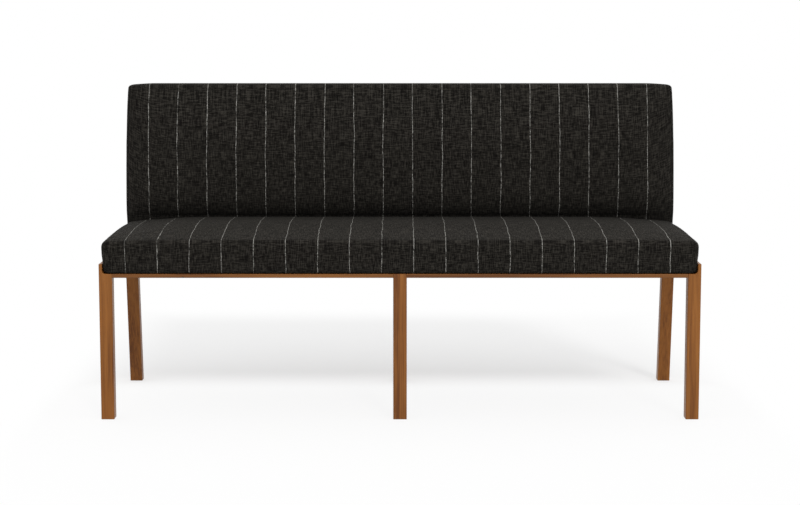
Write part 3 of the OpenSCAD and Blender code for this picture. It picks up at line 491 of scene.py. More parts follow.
@dataclass(frozen=True)
class ClothFinish:
    """Dark woven cloth with slubs and thin pale stripes."""

    name: str = "charcoal linen weave"
    ground_dark: Colour = srgb(17, 15, 13)
    ground_light: Colour = srgb(61, 58, 53)
    stripe: Colour = srgb(172, 170, 164)
    stripe_width: float = 0.0013
    # Colour of the painted shade in the crease between seat and back, also taken by the seam lines.
    crease_shade: Colour = srgb(6, 6, 5)
    pitch: float = 0.08105
    phase: float = 9.07
    thread: float = 0.0011
    slub: float = 0.80
    sheen: float = 0.035
    sheen_roughness: float = 0.4
    sheen_tint: Colour = (1.0, 0.95, 0.86)
    seam_shade: Span = (0.0002, 0.0014, 0.72, 0)
    seam_groove: Span = (0.0, 0.0035, -6, 0)
    stripe_height: float = 0.4
    bump: float = 0.55
    bump_height: float = 0.0004

    def build(self, effects: Effects) -> bpy.types.Material:
        """Builds the cloth.

        Args:
            effects: The shared node groups.

        Returns:
            The material.
        """
        material, g, shader = Finish.start(self.name, 0.95, specular=0.08)
        shader["Sheen Weight"].default_value = self.sheen
        shader["Sheen Roughness"].default_value = self.sheen_roughness
        shader["Sheen Tint"].default_value = (*self.sheen_tint, 1)
        cloth = g.node("ShaderNodeUVMap", uv_map="cloth").outputs[0]
        across = g.node("ShaderNodeAttribute", attribute_name="across").outputs["Fac"]
        weave = g.group(effects.weave, cloth=cloth, pitch=self.thread, slub=self.slub)
        stripes = g.group(effects.pinstripe, cloth=cloth, across=g.math("SUBTRACT", across, ACROSS_SHIFT),
                          pitch=self.pitch, phase=self.phase, width=self.stripe_width)
        ground = g.mix(weave.outputs["Tone"], self.ground_dark, self.ground_light)
        coloured = g.mix(stripes.outputs["Mask"], ground, self.stripe)
        seam = g.node("ShaderNodeAttribute", attribute_name="seam").outputs["Fac"]
        off_seam = g.math("ABSOLUTE", g.math("SUBTRACT", seam, SEAM_SHIFT))
        shade = g.remap(off_seam, *self.seam_shade)
        # Painted shade: the crease mark darkens the cloth towards crease_shade near the crease between seat and back;
        # the seam mark darkens it along the back's seams.
        crease = g.node("ShaderNodeAttribute", attribute_name="crease").outputs["Fac"]
        g.put(shader["Base Color"], g.mix(g.math("MAXIMUM", shade, crease), coloured, self.crease_shade))
        raised = g.math("ADD", g.remap(off_seam, *self.seam_groove),
                        g.math("MULTIPLY", stripes.outputs["Mask"], self.stripe_height))
        height = g.math("ADD", weave.outputs["Height"], raised)
        g.put(shader["Normal"], g.bump(height, self.bump, self.bump_height))
        return material


@dataclass(frozen=True)
class LiningFinish:
    """Thin black dust-cover cloth."""

    name: str = "black lining cloth"
    dark: Colour = srgb(20, 20, 21)
    light: Colour = srgb(38, 38, 40)
    thread: float = 0.0007
    slub: float = 0.3
    bump: float = 0.4
    bump_height: float = 0.0002

    def build(self, effects: Effects) -> bpy.types.Material:
        """Builds the lining.

        Args:
            effects: The shared node groups.

        Returns:
            The material.
        """
        material, g, shader = Finish.start(self.name, 0.95, specular=0.15)
        cloth = g.node("ShaderNodeTexCoord").outputs["Object"]
        weave = g.group(effects.weave, cloth=cloth, pitch=self.thread, slub=self.slub)
        g.put(shader["Base Color"], g.mix(weave.outputs["Tone"], self.dark, self.light))
        g.put(shader["Normal"], g.bump(weave.outputs["Height"], self.bump, self.bump_height))
        return material


@dataclass(frozen=True)
class WoodFinish:
    """Wood with straight grain, clear-finished or raw."""

    name: str = "satin brown hardwood"
    dark: Colour = srgb(109, 61, 22)
    middle: Colour = srgb(147, 91, 37)
    light: Colour = srgb(166, 106, 47)
    roughness: float = 0.42
    pore_share: float = 0.45
    bump: float = 0.25
    bump_height: float = 0.0003
    stride: Triple = (1.37, 0.73, 2.11)
    middle_tones: Span = (0, 0.55, 0, 1)
    light_tones: Span = (0.5, 1, 0, 1)
    duller: float = 0.06
    glossier: float = 0.05
    knot: Colour = srgb(46, 27, 15)
    knot_shade: float = 0.85
    knot_core: float = 0.4
    knot_squash: float = 1.6

    def build(self, effects: Effects, run: Run, offset: float,
              knots: Sequence[Sequence[float]] = ()) -> bpy.types.Material:
        """Builds the wood of one piece, with a stretch of grain of its own.

        Args:
            effects: The shared node groups.
            run: Which way the grain runs.
            offset: Where in the grain this piece is cut.
            knots: X, Z and radius of small dark knots on the front.

        Returns:
            The material.
        """
        material, g, shader = Finish.start(f"{self.name} {run.name.lower()} {offset:g}", self.roughness, specular=0.3)
        place = g.node("ShaderNodeTexCoord").outputs["Object"]
        turned = g.mapping(place, (1, 1, 1), turn=run.value, shift=[offset * step for step in self.stride])
        grain = g.group(effects.grain, vector=turned, figure=1.0)
        tone = grain.outputs["Tone"]
        colour = g.mix(g.remap(tone, *self.middle_tones), self.dark, self.middle)
        colour = g.mix(g.remap(tone, *self.light_tones), colour, self.light)
        colour = g.mix(g.math("MULTIPLY", grain.outputs["Pores"], self.pore_share), colour, self.dark)
        x, _, z = g.split(place)
        for knot_x, knot_z, radius in knots:
            along, up = g.math("SUBTRACT", x, knot_x), g.math("SUBTRACT", z, knot_z)
            up = g.math("MULTIPLY", up, self.knot_squash)
            away = g.math("SQRT", g.math("ADD", g.math("POWER", along, 2), g.math("POWER", up, 2)))
            shade = g.remap(away, radius * self.knot_core, radius, self.knot_shade, 0)
            colour = g.mix(shade, colour, self.knot)
        g.put(shader["Base Color"], colour)
        g.put(shader["Roughness"], g.remap(tone, 0, 1, self.roughness + self.duller, self.roughness - self.glossier))
        g.put(shader["Normal"], g.bump(grain.outputs["Height"], self.bump, self.bump_height))
        return material


@dataclass(frozen=True)
class PlainFinish:
    """A hidden or small piece's finish: two tones mixed by a noise that is stretched to its make."""

    name: str
    dark: Colour
    light: Colour
    roughness: float
    metallic: float = 0.0
    scale: Triple = (300, 300, 300)
    depth: float = 0.0002
    bump: float = 0.4
    tones: tuple[float, float] = (0.3, 0.7)
    uneven: float = 0.07

    def build(self) -> bpy.types.Material:
        """Builds the finish.

        Returns:
            The material.
        """
        material, g, shader = Finish.start(self.name, self.roughness, self.metallic)
        place = g.node("ShaderNodeTexCoord").outputs["Object"]
        speck = g.noise(g.mapping(place, self.scale), detail=3, roughness=0.6)
        g.put(shader["Base Color"], g.mix(g.remap(speck, *self.tones, 0, 1), self.dark, self.light))
        rough = g.remap(speck, *self.tones, self.roughness - self.uneven, self.roughness + self.uneven)
        g.put(shader["Roughness"], rough)
        g.put(shader["Normal"], g.bump(speck, self.bump, self.depth))
        return material


# ---------------------------------------------------------------- hand tools


class Bench:
    """The workbench: selecting, joining and finishing objects."""

    @staticmethod
    def clear() -> None:
        """Deselects everything, in object mode."""
        if bpy.context.object and bpy.context.object.mode != "OBJECT":
            bpy.ops.object.mode_set(mode="OBJECT")
        bpy.ops.object.select_all(action="DESELECT")

    @staticmethod
    def pick(piece: bpy.types.Object) -> None:
        """Makes one object the only one selected and active.

        Args:
            piece: The object.
        """
        Bench.clear()
        piece.select_set(True)
        bpy.context.view_layer.objects.active = piece

    @staticmethod
    def apply(piece: bpy.types.Object, kind: str, **values: Any) -> None:
        """Adds a modifier with some settings and applies it.

        Args:
            piece: The object.
            kind: The modifier's type.
            values: Its settings.
        """
        Bench.pick(piece)
        modifier = piece.modifiers.new(kind.title(), kind)
        for name, value in values.items():
            setattr(modifier, name, value)
        bpy.ops.object.modifier_apply(modifier=modifier.name)

    @staticmethod
    def pick_faces(piece: bpy.types.Object, chosen: Callable[[bpy.types.MeshPolygon], bool]) -> None:
        """Selects some faces of a piece, and stays in edit mode.

        Args:
            piece: The object.
            chosen: Whether a face is selected.
        """
        Bench.pick(piece)
        bpy.ops.object.mode_set(mode="EDIT")
        bpy.ops.mesh.select_mode(type="FACE")
        bpy.ops.mesh.select_all(action="DESELECT")
        bpy.ops.object.mode_set(mode="OBJECT")
        for face in piece.data.polygons:
            face.select = chosen(face)
        bpy.ops.object.mode_set(mode="EDIT")

    @staticmethod
    def settle(piece: bpy.types.Object) -> None:
        """Puts the object's place, turn and scale into its mesh.

        Args:
            piece: The object.
        """
        Bench.pick(piece)
        bpy.ops.object.transform_apply(location=True, rotation=True, scale=True)

    @staticmethod
    def from_mesh(name: str, points: Sequence[Sequence[float]], faces: Sequence[Sequence[int]]) -> bpy.types.Object:
        """A new object from points and faces, in metres.

        Args:
            name: The object's name.
            points: Its points.
            faces: Its faces.

        Returns:
            The object.
        """
        mesh = bpy.data.meshes.new(name)
        mesh.from_pydata([tuple(map(float, p)) for p in points], [], [tuple(f) for f in faces])
        mesh.validate()
        piece = bpy.data.objects.new(name, mesh)
        bpy.context.scene.collection.objects.link(piece)
        return piece

    @staticmethod
    def panel(name: str, columns: int, rows: int, place: Callable[[float, float], Sequence[float]],
              thickness: float) -> bpy.types.Object:
        """A thin panel on a grid, whose cloth lies below the grid's face.

        Args:
            name: The object's name.
            columns: Faces across.
            rows: Faces along.
            place: Gives a point from its share across, -1 to 1, and its share along, 0 to 1.
            thickness: The cloth's thickness.

        Returns:
            The panel.
        """
        points = [place(2 * i / columns - 1, j / rows) for j in range(rows + 1) for i in range(columns + 1)]
        wide = columns + 1
        corners = [j * wide + i for j in range(rows) for i in range(columns)]
        piece = Bench.from_mesh(name, points, [(a + 1, a, a + wide, a + wide + 1) for a in corners])
        Bench.apply(piece, "SOLIDIFY", thickness=thickness, offset=-1)
        return piece

    @staticmethod
    def copies(first: bpy.types.Object, places: Iterable[Sequence[float]], name: str) -> bpy.types.Object:
        """Copies one modelled object to several places and joins the copies to a piece.

        Args:
            first: The object, modelled at the origin.
            places: Where the copies go.
            name: The joined piece's name.

        Returns:
            The joined piece.
        """
        made = []
        for place in places:
            copy = first.copy()
            copy.data = first.data.copy()
            copy.location = place
            bpy.context.scene.collection.objects.link(copy)
            made.append(copy)
        bpy.data.objects.remove(first)
        Bench.clear()
        for copy in made:
            copy.select_set(True)
        bpy.context.view_layer.objects.active = made[0]
        bpy.ops.object.join()
        joined = bpy.context.view_layer.objects.active
        joined.name = joined.data.name = name
        Bench.settle(joined)
        return joined

    @staticmethod
    def dress(piece: bpy.types.Object, material: bpy.types.Material, smooth: bool = True) -> None:
        """Gives an object one material, and smooth shading if asked.

        Args:
            piece: The object.
            material: Its material.
            smooth: Whether its faces shade smoothly.
        """
        piece.data.materials.clear()
        piece.data.materials.append(material)
        if smooth:
            piece.data.polygons.foreach_set("use_smooth", [True] * len(piece.data.polygons))
            piece.data.update()


# ---------------------------------------------------------------- upholstery


@dataclass(frozen=True)
class Rings:
    """Draws closed cushion forms as rings of points, in metres."""

    long_steps: int = 110
    side_steps: int = 36
    corner_steps: int = 8

    def half(self, half_width: float, mid: float, side: float, radius: float, mark: float) -> list[list[float]]:
        """One half of a ring, from +X round one side to -X.

        Args:
            half_width: The ring's greatest X.
            mid: Where the half starts and ends.
            side: Where its long side lies.
            radius: Its corners' radius.
            mark: What its long side is marked with.

        Returns:
            Points of X, place and mark.
        """
        way = 1 if side > mid else -1
        turn = side - way * radius
        step = math.pi / 2 / self.corner_steps
        out = [[half_width, mid + (turn - mid) * j / self.side_steps, 0.0] for j in range(self.side_steps + 1)]
        for k in range(1, self.corner_steps + 1):
            a = k * step
            out.append([half_width - radius + radius * math.cos(a), turn + way * radius * math.sin(a),
                        mark * (1 - math.cos(a))])
        for i in range(1, self.long_steps + 1):
            out.append([(half_width - radius) * (1 - 2 * i / self.long_steps), side, mark])
        for k in range(1, self.corner_steps + 1):
            a = k * step
            out.append([-(half_width - radius) - radius * math.sin(a), turn + way * radius * math.cos(a),
                        mark * (1 - math.sin(a))])
        out += [[-half_width, turn - (turn - mid) * j / self.side_steps, 0.0] for j in range(1, self.side_steps + 1)]
        return out

    def ring(self, half_width: float, near: float, far: float, near_radius: float, far_radius: float) -> np.ndarray:
        """A whole ring.

        Args:
            half_width: The ring's greatest X.
            near: Its near side.
            far: Its far side, whose points are marked.
            near_radius: Radius of its near corners.
            far_radius: Radius of its far corners.

        Returns:
            An array of X, place and mark.
        """
        mid = (near + far) / 2
        first = self.half(half_width, mid, far, far_radius, 1.0)
        second = self.half(half_width, mid, near, near_radius, 0.0)
        return np.array(first + second[-2:0:-1])

    @staticmethod
    def skin(name: str, rings: Sequence[np.ndarray]) -> bpy.types.Object:
        """A closed form through rings, with a strip across the first and the last.

        Args:
            name: The object's name.
            rings: Rings of as many points each.

        Returns:
            The object.
        """
        count = len(rings[0])
        faces: list[list[int]] = []
        for k in range(len(rings) - 1):
            for i in range(count):
                a, b = k * count + i, k * count + (i + 1) % count
                faces.append([a, a + count, b + count, b])
        last = (len(rings) - 1) * count
        for base, order in ((0, 1), (last, -1)):
            caps = [[0, 1, count - 1], [count // 2 - 1, count // 2, count // 2 + 1]]
            caps += [[i, i + 1, count - i - 1, count - i] for i in range(1, count // 2 - 1)]
            faces += [[base + i for i in cap[::order]] for cap in caps]
        return Bench.from_mesh(name, np.concatenate(rings), faces)


class Tailor:
    """What is done to every stuffed form: an even skin, a soft swell and cloth coordinates."""

    last_stripe: ClassVar[float] = 0.752  # Stripes run on the front and the top, and stop short of the side faces.
    side_normal: ClassVar[float] = 0.8  # A face whose normal has more than this in X is a side face.
    side_shift: ClassVar[float] = 4.0  # Side faces have their cloth coordinates this far from the front's.
    free_gain: ClassVar[float] = 1.6
    half_held: ClassVar[float] = 0.25
    sunk_share: ClassVar[float] = 0.55  # A form starts this share of its swell low, because the swell lifts it.
    frames: ClassVar[int] = 20
    stretch: ClassVar[dict[str, float]] = {
        "quality": 4, "mass": 0.4, "tension_stiffness": 25, "compression_stiffness": 25, "shear_stiffness": 12,
        "bending_stiffness": 4, "uniform_pressure_force": 4.0,
    }

    @staticmethod
    def even_skin(piece: bpy.types.Object, voxel: float, passes: int) -> None:
        """Remeshes a form to even quads and smooths their steps away.

        Args:
            piece: The form.
            voxel: The size of the quads.
            passes: How often it is smoothed.
        """
        Bench.apply(piece, "REMESH", mode="VOXEL", voxel_size=voxel)
        Bench.apply(piece, "SMOOTH", iterations=passes, factor=0.5)

    @staticmethod
    def points(piece: bpy.types.Object) -> np.ndarray:
        """The piece's points as an array, in metres."""
        flat = np.empty(len(piece.data.vertices) * 3)
        piece.data.vertices.foreach_get("co", flat)
        return flat.reshape(-1, 3)

    @staticmethod
    def move(piece: bpy.types.Object, points: np.ndarray) -> None:
        """Sets the piece's points.

        Args:
            piece: The piece.
            points: As many points as it has.
        """
        piece.data.vertices.foreach_set("co", points.ravel())
        piece.data.update()

    @staticmethod
    def swell(piece: bpy.types.Object, free: np.ndarray, cap: float) -> None:
        """Lets the skin swell as cloth under pressure, and keeps a capped share of it.

        Args:
            piece: The form.
            free: For each point, 0 where the cloth is tacked and up to 1 where it is free.
            cap: The furthest that a point may move.
        """
        held = 1 - np.clip(free * Tailor.free_gain, 0, 1)
        rest = Tailor.points(piece)
        pins = piece.vertex_groups.new(name="tacked")
        for weight, chosen in ((1.0, held >= 1.0), (0.5, (held >= Tailor.half_held) & (held < 1.0))):
            pins.add(np.nonzero(chosen)[0].tolist(), weight, "REPLACE")
        Bench.pick(piece)
        cloth = piece.modifiers.new("Cloth", "CLOTH")
        settings = cloth.settings
        for name, value in Tailor.stretch.items():
            setattr(settings, name, value)
        settings.use_pressure = True
        settings.vertex_group_mass = "tacked"
        settings.effector_weights.gravity = 0
        cloth.collision_settings.use_collision = False
        cloth.point_cache.frame_start, cloth.point_cache.frame_end = 1, Tailor.frames
        scene = bpy.context.scene
        for step in range(1, Tailor.frames + 1):
            scene.frame_set(step)
        bpy.ops.object.modifier_apply(modifier=cloth.name)
        scene.frame_set(1)
        piece.vertex_groups.clear()
        moved = Tailor.points(piece) - rest
        far = np.linalg.norm(moved, axis=1)
        share = min(1.0, cap / max(float(np.percentile(far, 99)), 1e-6))
        moved *= share
        far = far * share
        moved *= np.minimum(1.0, cap / np.maximum(far, 1e-9))[:, None]
        log.info("%s swelled by up to %.1f mm, of which %.0f%% is kept", piece.name, far.max() * 1000 / share,
                 share * 100)
        Tailor.move(piece, rest + moved)

    @staticmethod
    def finish(piece: bpy.types.Object) -> None:
        """Subdivides the skin once.

        Args:
            piece: The form.
        """
        Bench.apply(piece, "SUBSURF", levels=1, render_levels=1)

    @staticmethod
    def lay_cloth(piece: bpy.types.Object) -> None:
        """Gives the piece cloth coordinates in metres: across the bench and along the cloth, or on the sides
        from front to rear and up.

        Args:
            piece: The piece.
        """
        mesh = piece.data
        uv = mesh.uv_layers.new(name="cloth")
        points = Tailor.points(piece)
        loops = np.empty(len(mesh.loops), dtype=np.int64)
        mesh.loops.foreach_get("vertex_index", loops)
        normals = np.empty(len(mesh.polygons) * 3)
        mesh.polygons.foreach_get("normal", normals)
        sizes = np.empty(len(mesh.polygons), dtype=np.int64)
        mesh.polygons.foreach_get("loop_total", sizes)
        beside = np.repeat(np.abs(normals.reshape(-1, 3)[:, 0]) > Tailor.side_normal, sizes)
        x, y, z = points[loops].T
        across = np.where(beside, y + Tailor.side_shift, x)
        along = np.where(beside, z, z - y)
        uv.data.foreach_set("uv", np.column_stack([across, along]).ravel())

    @staticmethod
    def mark(piece: bpy.types.Object, name: str, values: np.ndarray) -> None:
        """Stores one value for each point of a piece.

        Args:
            piece: The piece.
            name: The attribute's name.
            values: A value for each point.
        """
        attribute = piece.data.attributes.new(name, "FLOAT", "POINT")
        attribute.data.foreach_set("value", values.astype(np.float32))

    @staticmethod
    def cut_cloth(piece: bpy.types.Object, across: np.ndarray, crease: np.ndarray,
                  off_seam: np.ndarray | None = None) -> None:
        """Marks where each point lies across the striped cloth, how much painted shade it takes near the crease, and
        how far from a seam.

        Args:
            piece: The piece.
            across: Place across the cloth for each point, in metres.
            crease: Painted shade for each point, from 0 on open cloth to 1 in the crease between seat and back.
            off_seam: Distance from the seam for each point, or None where there is no seam.
        """
        if off_seam is None:
            off_seam = np.full(len(across), FAR_FROM_SEAM)
        Tailor.mark(piece, "across", np.clip(across, -Tailor.last_stripe, Tailor.last_stripe) + ACROSS_SHIFT)
        # The painted shade near the crease, which darkens the cloth's colour.
        Tailor.mark(piece, "crease", crease)
        Tailor.mark(piece, "seam", off_seam + SEAM_SHIFT)


@dataclass
class SeatUpholstery:
    """The seat: one crowned pad whose cloth is drawn down over the front and the sides.

    Lengths are in metres. The top falls from its level middle to the front and the sides over `reach`, and a
    little to the rear. The walls bulge over the tray's lip, and stand inside it below.
    """

    half_width: float = 0.7579
    front: float = -0.286454
    rear: float = 0.198946
    bottom: float = 0.3755
    lip_top: float = 0.401
    lip_inside: float = 0.7537
    top: float = 0.479
    crown: float = 0.0135
    side_crown: float = 0.0140
    reach: float = 0.240
    rear_drop: float = 0.007
    edge: float = 0.011
    side_edge: float = 0.013
    base_edge: float = 0.009
    bulge: float = 0.0042
    corner: float = 0.020
    fan: float = 0.011
    fan_start: float = 0.05
    voxel: float = 0.007
    swell_cap: float = 0.004
    dust_gap: float = 0.006
    # Painted shade: the cloth is darkened by up to `shade` over `shaded_run` in front of the rear, where the back
    # shades the seat.
    shaded_run: float = 0.36
    shade: float = 0.45
    crown_power: float = 1.7
    rear_share: float = 0.1
    upright_share: float = 0.75
    wall_top: float = 0.445
    wall_depth: float = 0.03
    wall_share: float = 0.3
    top_start: float = 0.44
    free_rise: float = 0.03
    free_rear: float = 0.02
    free_run: float = 0.05
    over_dust_x: float = 0.725
    over_dust_front: float = 0.035
    over_dust_rear: float = 0.008
    bottom_clear: float = 0.0003
    lip_clear: float = 0.0004
    lip_roll: tuple[float, float] = (0.001, 0.006)
    side_spare: float = 0.002
    fan_power: float = 1.5
    base_insets: tuple[float, ...] = (0.12, 0.06, 0.03)
    rings: Rings = field(default_factory=Rings)

    def surface(self, x: np.ndarray, y: np.ndarray) -> np.ndarray:
        """Height of the crowned top.

        Args:
            x: Places across.
            y: Places from front to rear.

        Returns:
            The heights.
        """
        def fall(away: np.ndarray, crown: float) -> np.ndarray:
            """How far the top has fallen at a distance from an edge."""
            return crown * (1 - np.clip(away, 0, self.reach) / self.reach) ** self.crown_power

        level = self.front + self.reach
        run = np.maximum(y - level, 0) / (self.rear - level)
        side, front = fall(self.half_width - np.abs(x), self.side_crown), fall(y - self.front, self.crown)
        return self.top - self.rear_drop * run ** 2 - np.hypot(side, front)

    def stations(self) -> list[tuple[float, float]]:
        """Inset and height of each ring, from the bottom to the middle of the top, where the height is 0."""
        out = [(inset, self.bottom) for inset in self.base_insets]
        out += [(self.bulge + self.base_edge * (1 - math.sin(a)), self.bottom + self.base_edge * (1 - math.cos(a)))
                for a in np.linspace(0, 1, 6) * math.pi / 2]
        base_top, edge_start = self.bottom + self.base_edge, self.top - self.crown - self.edge
        out += [(self.bulge, base_top + (self.lip_top - base_top) * s) for s in (0.5, 1)]
        out += [(self.bulge * (1 - s) ** 2, self.lip_top + (edge_start - self.lip_top) * s)
                for s in np.linspace(0.15, 0.9, 6)]
        out += [(self.edge * (1 - math.cos(a)), 0.0) for a in np.linspace(0, math.pi / 2, 14)]
        out += [(self.edge + (self.reach - self.edge) * s, 0.0) for s in np.linspace(0.05, 1, 18)]
        return out

    def ring(self, inset: float, height: float) -> np.ndarray:
        """One ring of the seat, drawn in only a little at the rear.

        Args:
            inset: How far it lies in from the sides.
            height: Its height on the wall, or 0 over the edge, where it follows the top.

        Returns:
            Its points.
        """
        def round_fall(away: np.ndarray, radius: np.ndarray) -> np.ndarray:
            """How far a rounded edge has fallen at a distance from its side."""
            return radius - np.sqrt(radius ** 2 - np.clip(radius - away, 0, radius) ** 2)

        far = self.rear - self.rear_share * min(inset, self.edge) - (1 - self.rear_share) * max(inset - self.edge, 0)
        front_inset = inset - self.upright_share * min(inset, self.bulge) if height > 0 else inset
        flat = self.rings.ring(self.half_width - inset, self.front + front_inset, far,
                               max(self.corner - inset, 0.0008), max(0.004 - inset, 0.0008))
        x, y, mark = flat.T
        top = self.surface(x, y)
        from_side, from_front = self.half_width - np.abs(x), y - self.front
        front_share = from_side ** 2 / (from_side ** 2 + from_front ** 2)
        z = top - round_fall(np.full_like(x, inset), self.side_edge + (self.edge - self.side_edge) * front_share)
        rear_fall = self.rear_share * round_fall(inset, self.edge)
        rear_z = top - np.maximum(rear_fall, round_fall(from_side, self.side_edge))
        if height > 0:
            share = (height - self.bottom) / (self.top - self.crown - self.edge - self.bottom)
            z, rear_z = height, self.bottom + share * (rear_z - self.bottom)
        return np.column_stack([x, y, z * (1 - mark) + rear_z * mark])

    def build(self, cloth: bpy.types.Material) -> bpy.types.Object:
        """Builds, swells and dresses the seat.

        Args:
            cloth: The cover's material.

        Returns:
            The seat.
        """
        seat = self.rings.skin("seat_upholstery", [self.ring(*station) for station in self.stations()])
        Tailor.even_skin(seat, self.voxel, 3)
        start = Tailor.points(seat)
        x, y, z = start.T
        wall = np.where(z < self.wall_top, np.clip((y - self.front) / self.wall_depth, self.wall_share, 1), 1.0)
        free = wall * np.clip((z - self.lip_top) / self.free_rise, 0, 1)
        free = free * np.clip((self.rear - self.free_rear - y) / self.free_run, 0, 1)
        start[:, 2] -= Tailor.sunk_share * self.swell_cap * free * (z > self.top_start)
        Tailor.move(seat, start)
        Tailor.swell(seat, free, self.swell_cap)
        self.seat_in_tray(seat)
        Tailor.finish(seat)
        Tailor.lay_cloth(seat)
        x, y, _ = Tailor.points(seat).T
        run = np.clip((y - self.front - self.fan_start) / (self.rear - self.front - self.fan_start), 0, 1)
        # Painted shade: the cloth darkens towards the rear, as if in the back's shadow.
        crease = self.shade * np.clip((y - self.rear + self.shaded_run) / self.shaded_run, 0, 1)
        Tailor.cut_cloth(seat, x / (1 + self.fan * run ** self.fan_power), crease)
        Bench.dress(seat, cloth)
        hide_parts("seat_cover", "seat_foam")
        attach(seat, "root")
        return seat

    def seat_in_tray(self, seat: bpy.types.Object) -> None:
        """Keeps the pad inside the lip, on the rails, and above the dust cover.

        Args:
            seat: The pad.
        """
        points = Tailor.points(seat)
        x, y, z = points.T
        z = np.maximum(z, self.bottom + self.bottom_clear)
        over_dust = np.abs(x) < self.over_dust_x
        over_dust &= (y > self.front + self.over_dust_front) & (y < self.rear - self.over_dust_rear)
        z = np.where(over_dust, np.maximum(z, self.bottom + self.dust_gap), z)
        roll_start, roll = self.lip_roll
        over_lip = np.clip((z - self.lip_top - roll_start) / roll, 0, 1)
        limit = self.lip_inside - self.lip_clear + (self.half_width - self.lip_inside + self.side_spare) * over_lip
        x = np.clip(x, -limit, limit)
        Tailor.move(seat, np.column_stack([x, y, z]))


@dataclass
class BackUpholstery:
    """The back: a leaning slab whose front swells over the webbing, with a seam beside each edge.

    Lengths are in metres. The rear plane leans by `slope` and passes `depth` behind the seat's rear at the
    height of `knee`. The front swells by `crown` above `crease`, where the back meets the seat.
    """

    half_width: float = 0.7534
    bottom: float = 0.3755
    top: float = 0.8385
    knee: float = 0.4367
    seat_rear: float = 0.198946
    slope: float = math.tan(math.radians(4.66))
    depth: float = 0.055
    crown: float = 0.035
    reach: float = 0.150
    edge: float = 0.010
    rear_edge: float = 0.003
    base_corner: float = 0.009
    top_corner: float = 0.008
    bulge: float = 0.0083
    lip_top: float = 0.401
    crease: float = 0.470
    corner_drop: float = 0.004
    corner_drop_run: float = 0.055
    seam_inset: float = 0.008
    voxel: float = 0.0065
    swell_cap: float = 0.004
    # Painted shade: the cloth is darkened by up to `shade` towards the crease, from `shaded_rise` above it over
    # `shade_run`, where the crease shades the back.
    shaded_rise: float = 0.075
    shade: float = 0.5
    low_share: float = 0.1
    free_depth: float = 0.03
    free_depth_run: float = 0.02
    free_start: float = 0.005
    free_run: float = 0.05
    seam_rear: float = 0.012
    crease_clear: float = 0.008
    side_fall: float = 0.78
    side_powers: tuple[float, float] = (10, 4)
    front_powers: tuple[float, float] = (2, 6)
    front_side_power: float = 2.2
    shade_run: float = 0.07
    shade_power: float = 1.5
    base_insets: tuple[float, ...] = (0.1, 0.04, 0.012)
    rings: Rings = field(default_factory=Rings)

    def upper(self, z: np.ndarray) -> np.ndarray:
        """Height over the middle of the swelled front: -1 at the crease and 1 at the top.

        Args:
            z: The heights.

        Returns:
            The share.
        """
        return (2 * z - self.top - self.crease) / (self.top - self.crease)

    def side_swell(self, z: np.ndarray) -> np.ndarray:
        """How far the sides swell out at some heights.

        Args:
            z: The heights.

        Returns:
            The swell, in metres.
        """
        t = np.clip((z - self.lip_top) / (self.top - self.lip_top), 0, 1)
        low_power, high_power = self.side_powers
        return self.bulge * (1 - (1 - t) ** low_power) * (1 - self.side_fall * t ** high_power)

    def front_swell(self, x: np.ndarray, z: np.ndarray) -> np.ndarray:
        """How far the front swells forward.

        Args:
            x: Places across.
            z: Heights.

        Returns:
            The swell, in metres.
        """
        t = self.upper(z)
        high_power, low_power = self.front_powers
        rise = np.maximum(1 - np.where(t > 0, t ** high_power, t ** low_power), 0)
        near = np.clip(self.half_width - np.abs(x), 0, self.reach) / self.reach
        return self.crown * rise * (1 - (1 - near) ** self.front_side_power)

    def rear_y(self, z: np.ndarray) -> np.ndarray:
        """Where the rear plane lies at some heights.

        Args:
            z: The heights.

        Returns:
            Its Y.
        """
        return self.seat_rear + (z - self.knee) * self.slope + self.depth

    def ring(self, inset: float, layer: float, swell: float, low_inset: float) -> np.ndarray:
        """One ring of the back.

        Args:
            inset: How far it lies in from the sides and the top.
            layer: How far it lies in front of the rear plane.
            swell: The share of the front's swell that it takes.
            low_inset: How far it lies above the bottom.

        Returns:
            Its points.
        """
        flat = self.rings.ring(self.half_width - inset, self.bottom + low_inset, self.top - inset,
                               max(self.base_corner - low_inset, 0.0008), max(self.top_corner - inset, 0.0008))
        x0, z0, _ = flat.T
        x = x0 * (1 + self.side_swell(z0) / self.half_width)
        run = np.maximum(np.abs(x0) - self.half_width + self.corner_drop_run, 0) / self.corner_drop_run
        z = z0 - self.corner_drop * run * np.maximum(self.upper(z0), 0)
        y = self.rear_y(z) - layer - swell * self.front_swell(x0, z0)
        return np.column_stack([x, np.maximum(y, self.lowest_front(z) + 0.0001), z])

    def stations(self) -> list[tuple[float, float, float, float]]:
        """Inset, layer, share of the swell and inset at the bottom of each ring, from the rear to the front."""
        out = [(inset, 0.0, 0.0, inset) for inset in self.base_insets]
        for a in np.linspace(0, 1, 4) * math.pi / 2:
            inset = self.rear_edge * (1 - math.sin(a))
            out.append((inset, self.rear_edge * (1 - math.cos(a)), 0.0, inset))
        out += [(0.0, self.rear_edge + (self.depth - self.edge - self.rear_edge) * s, 0.0, 0.0) for s in (0.33, 0.67)]
        for s in np.linspace(0, 1, 8):
            a = s * math.pi / 2
            inset = self.edge * (1 - math.cos(a))
            out.append((inset, self.depth - self.edge * (1 - math.sin(a)), float(s), self.low_share * inset))
        crease, half = self.crease - self.bottom, (self.top - self.bottom) / 2
        low = self.low_share * self.edge
        out += [(self.edge + (crease - self.edge) * s, self.depth, 1.0, low + (crease - low) * s)
                for s in np.linspace(0.1, 1, 10)]
        for s in np.linspace(0.1, 0.98, 14):
            inset = crease + (half - crease) * s
            out.append((inset, self.depth, 1.0, inset))
        return out

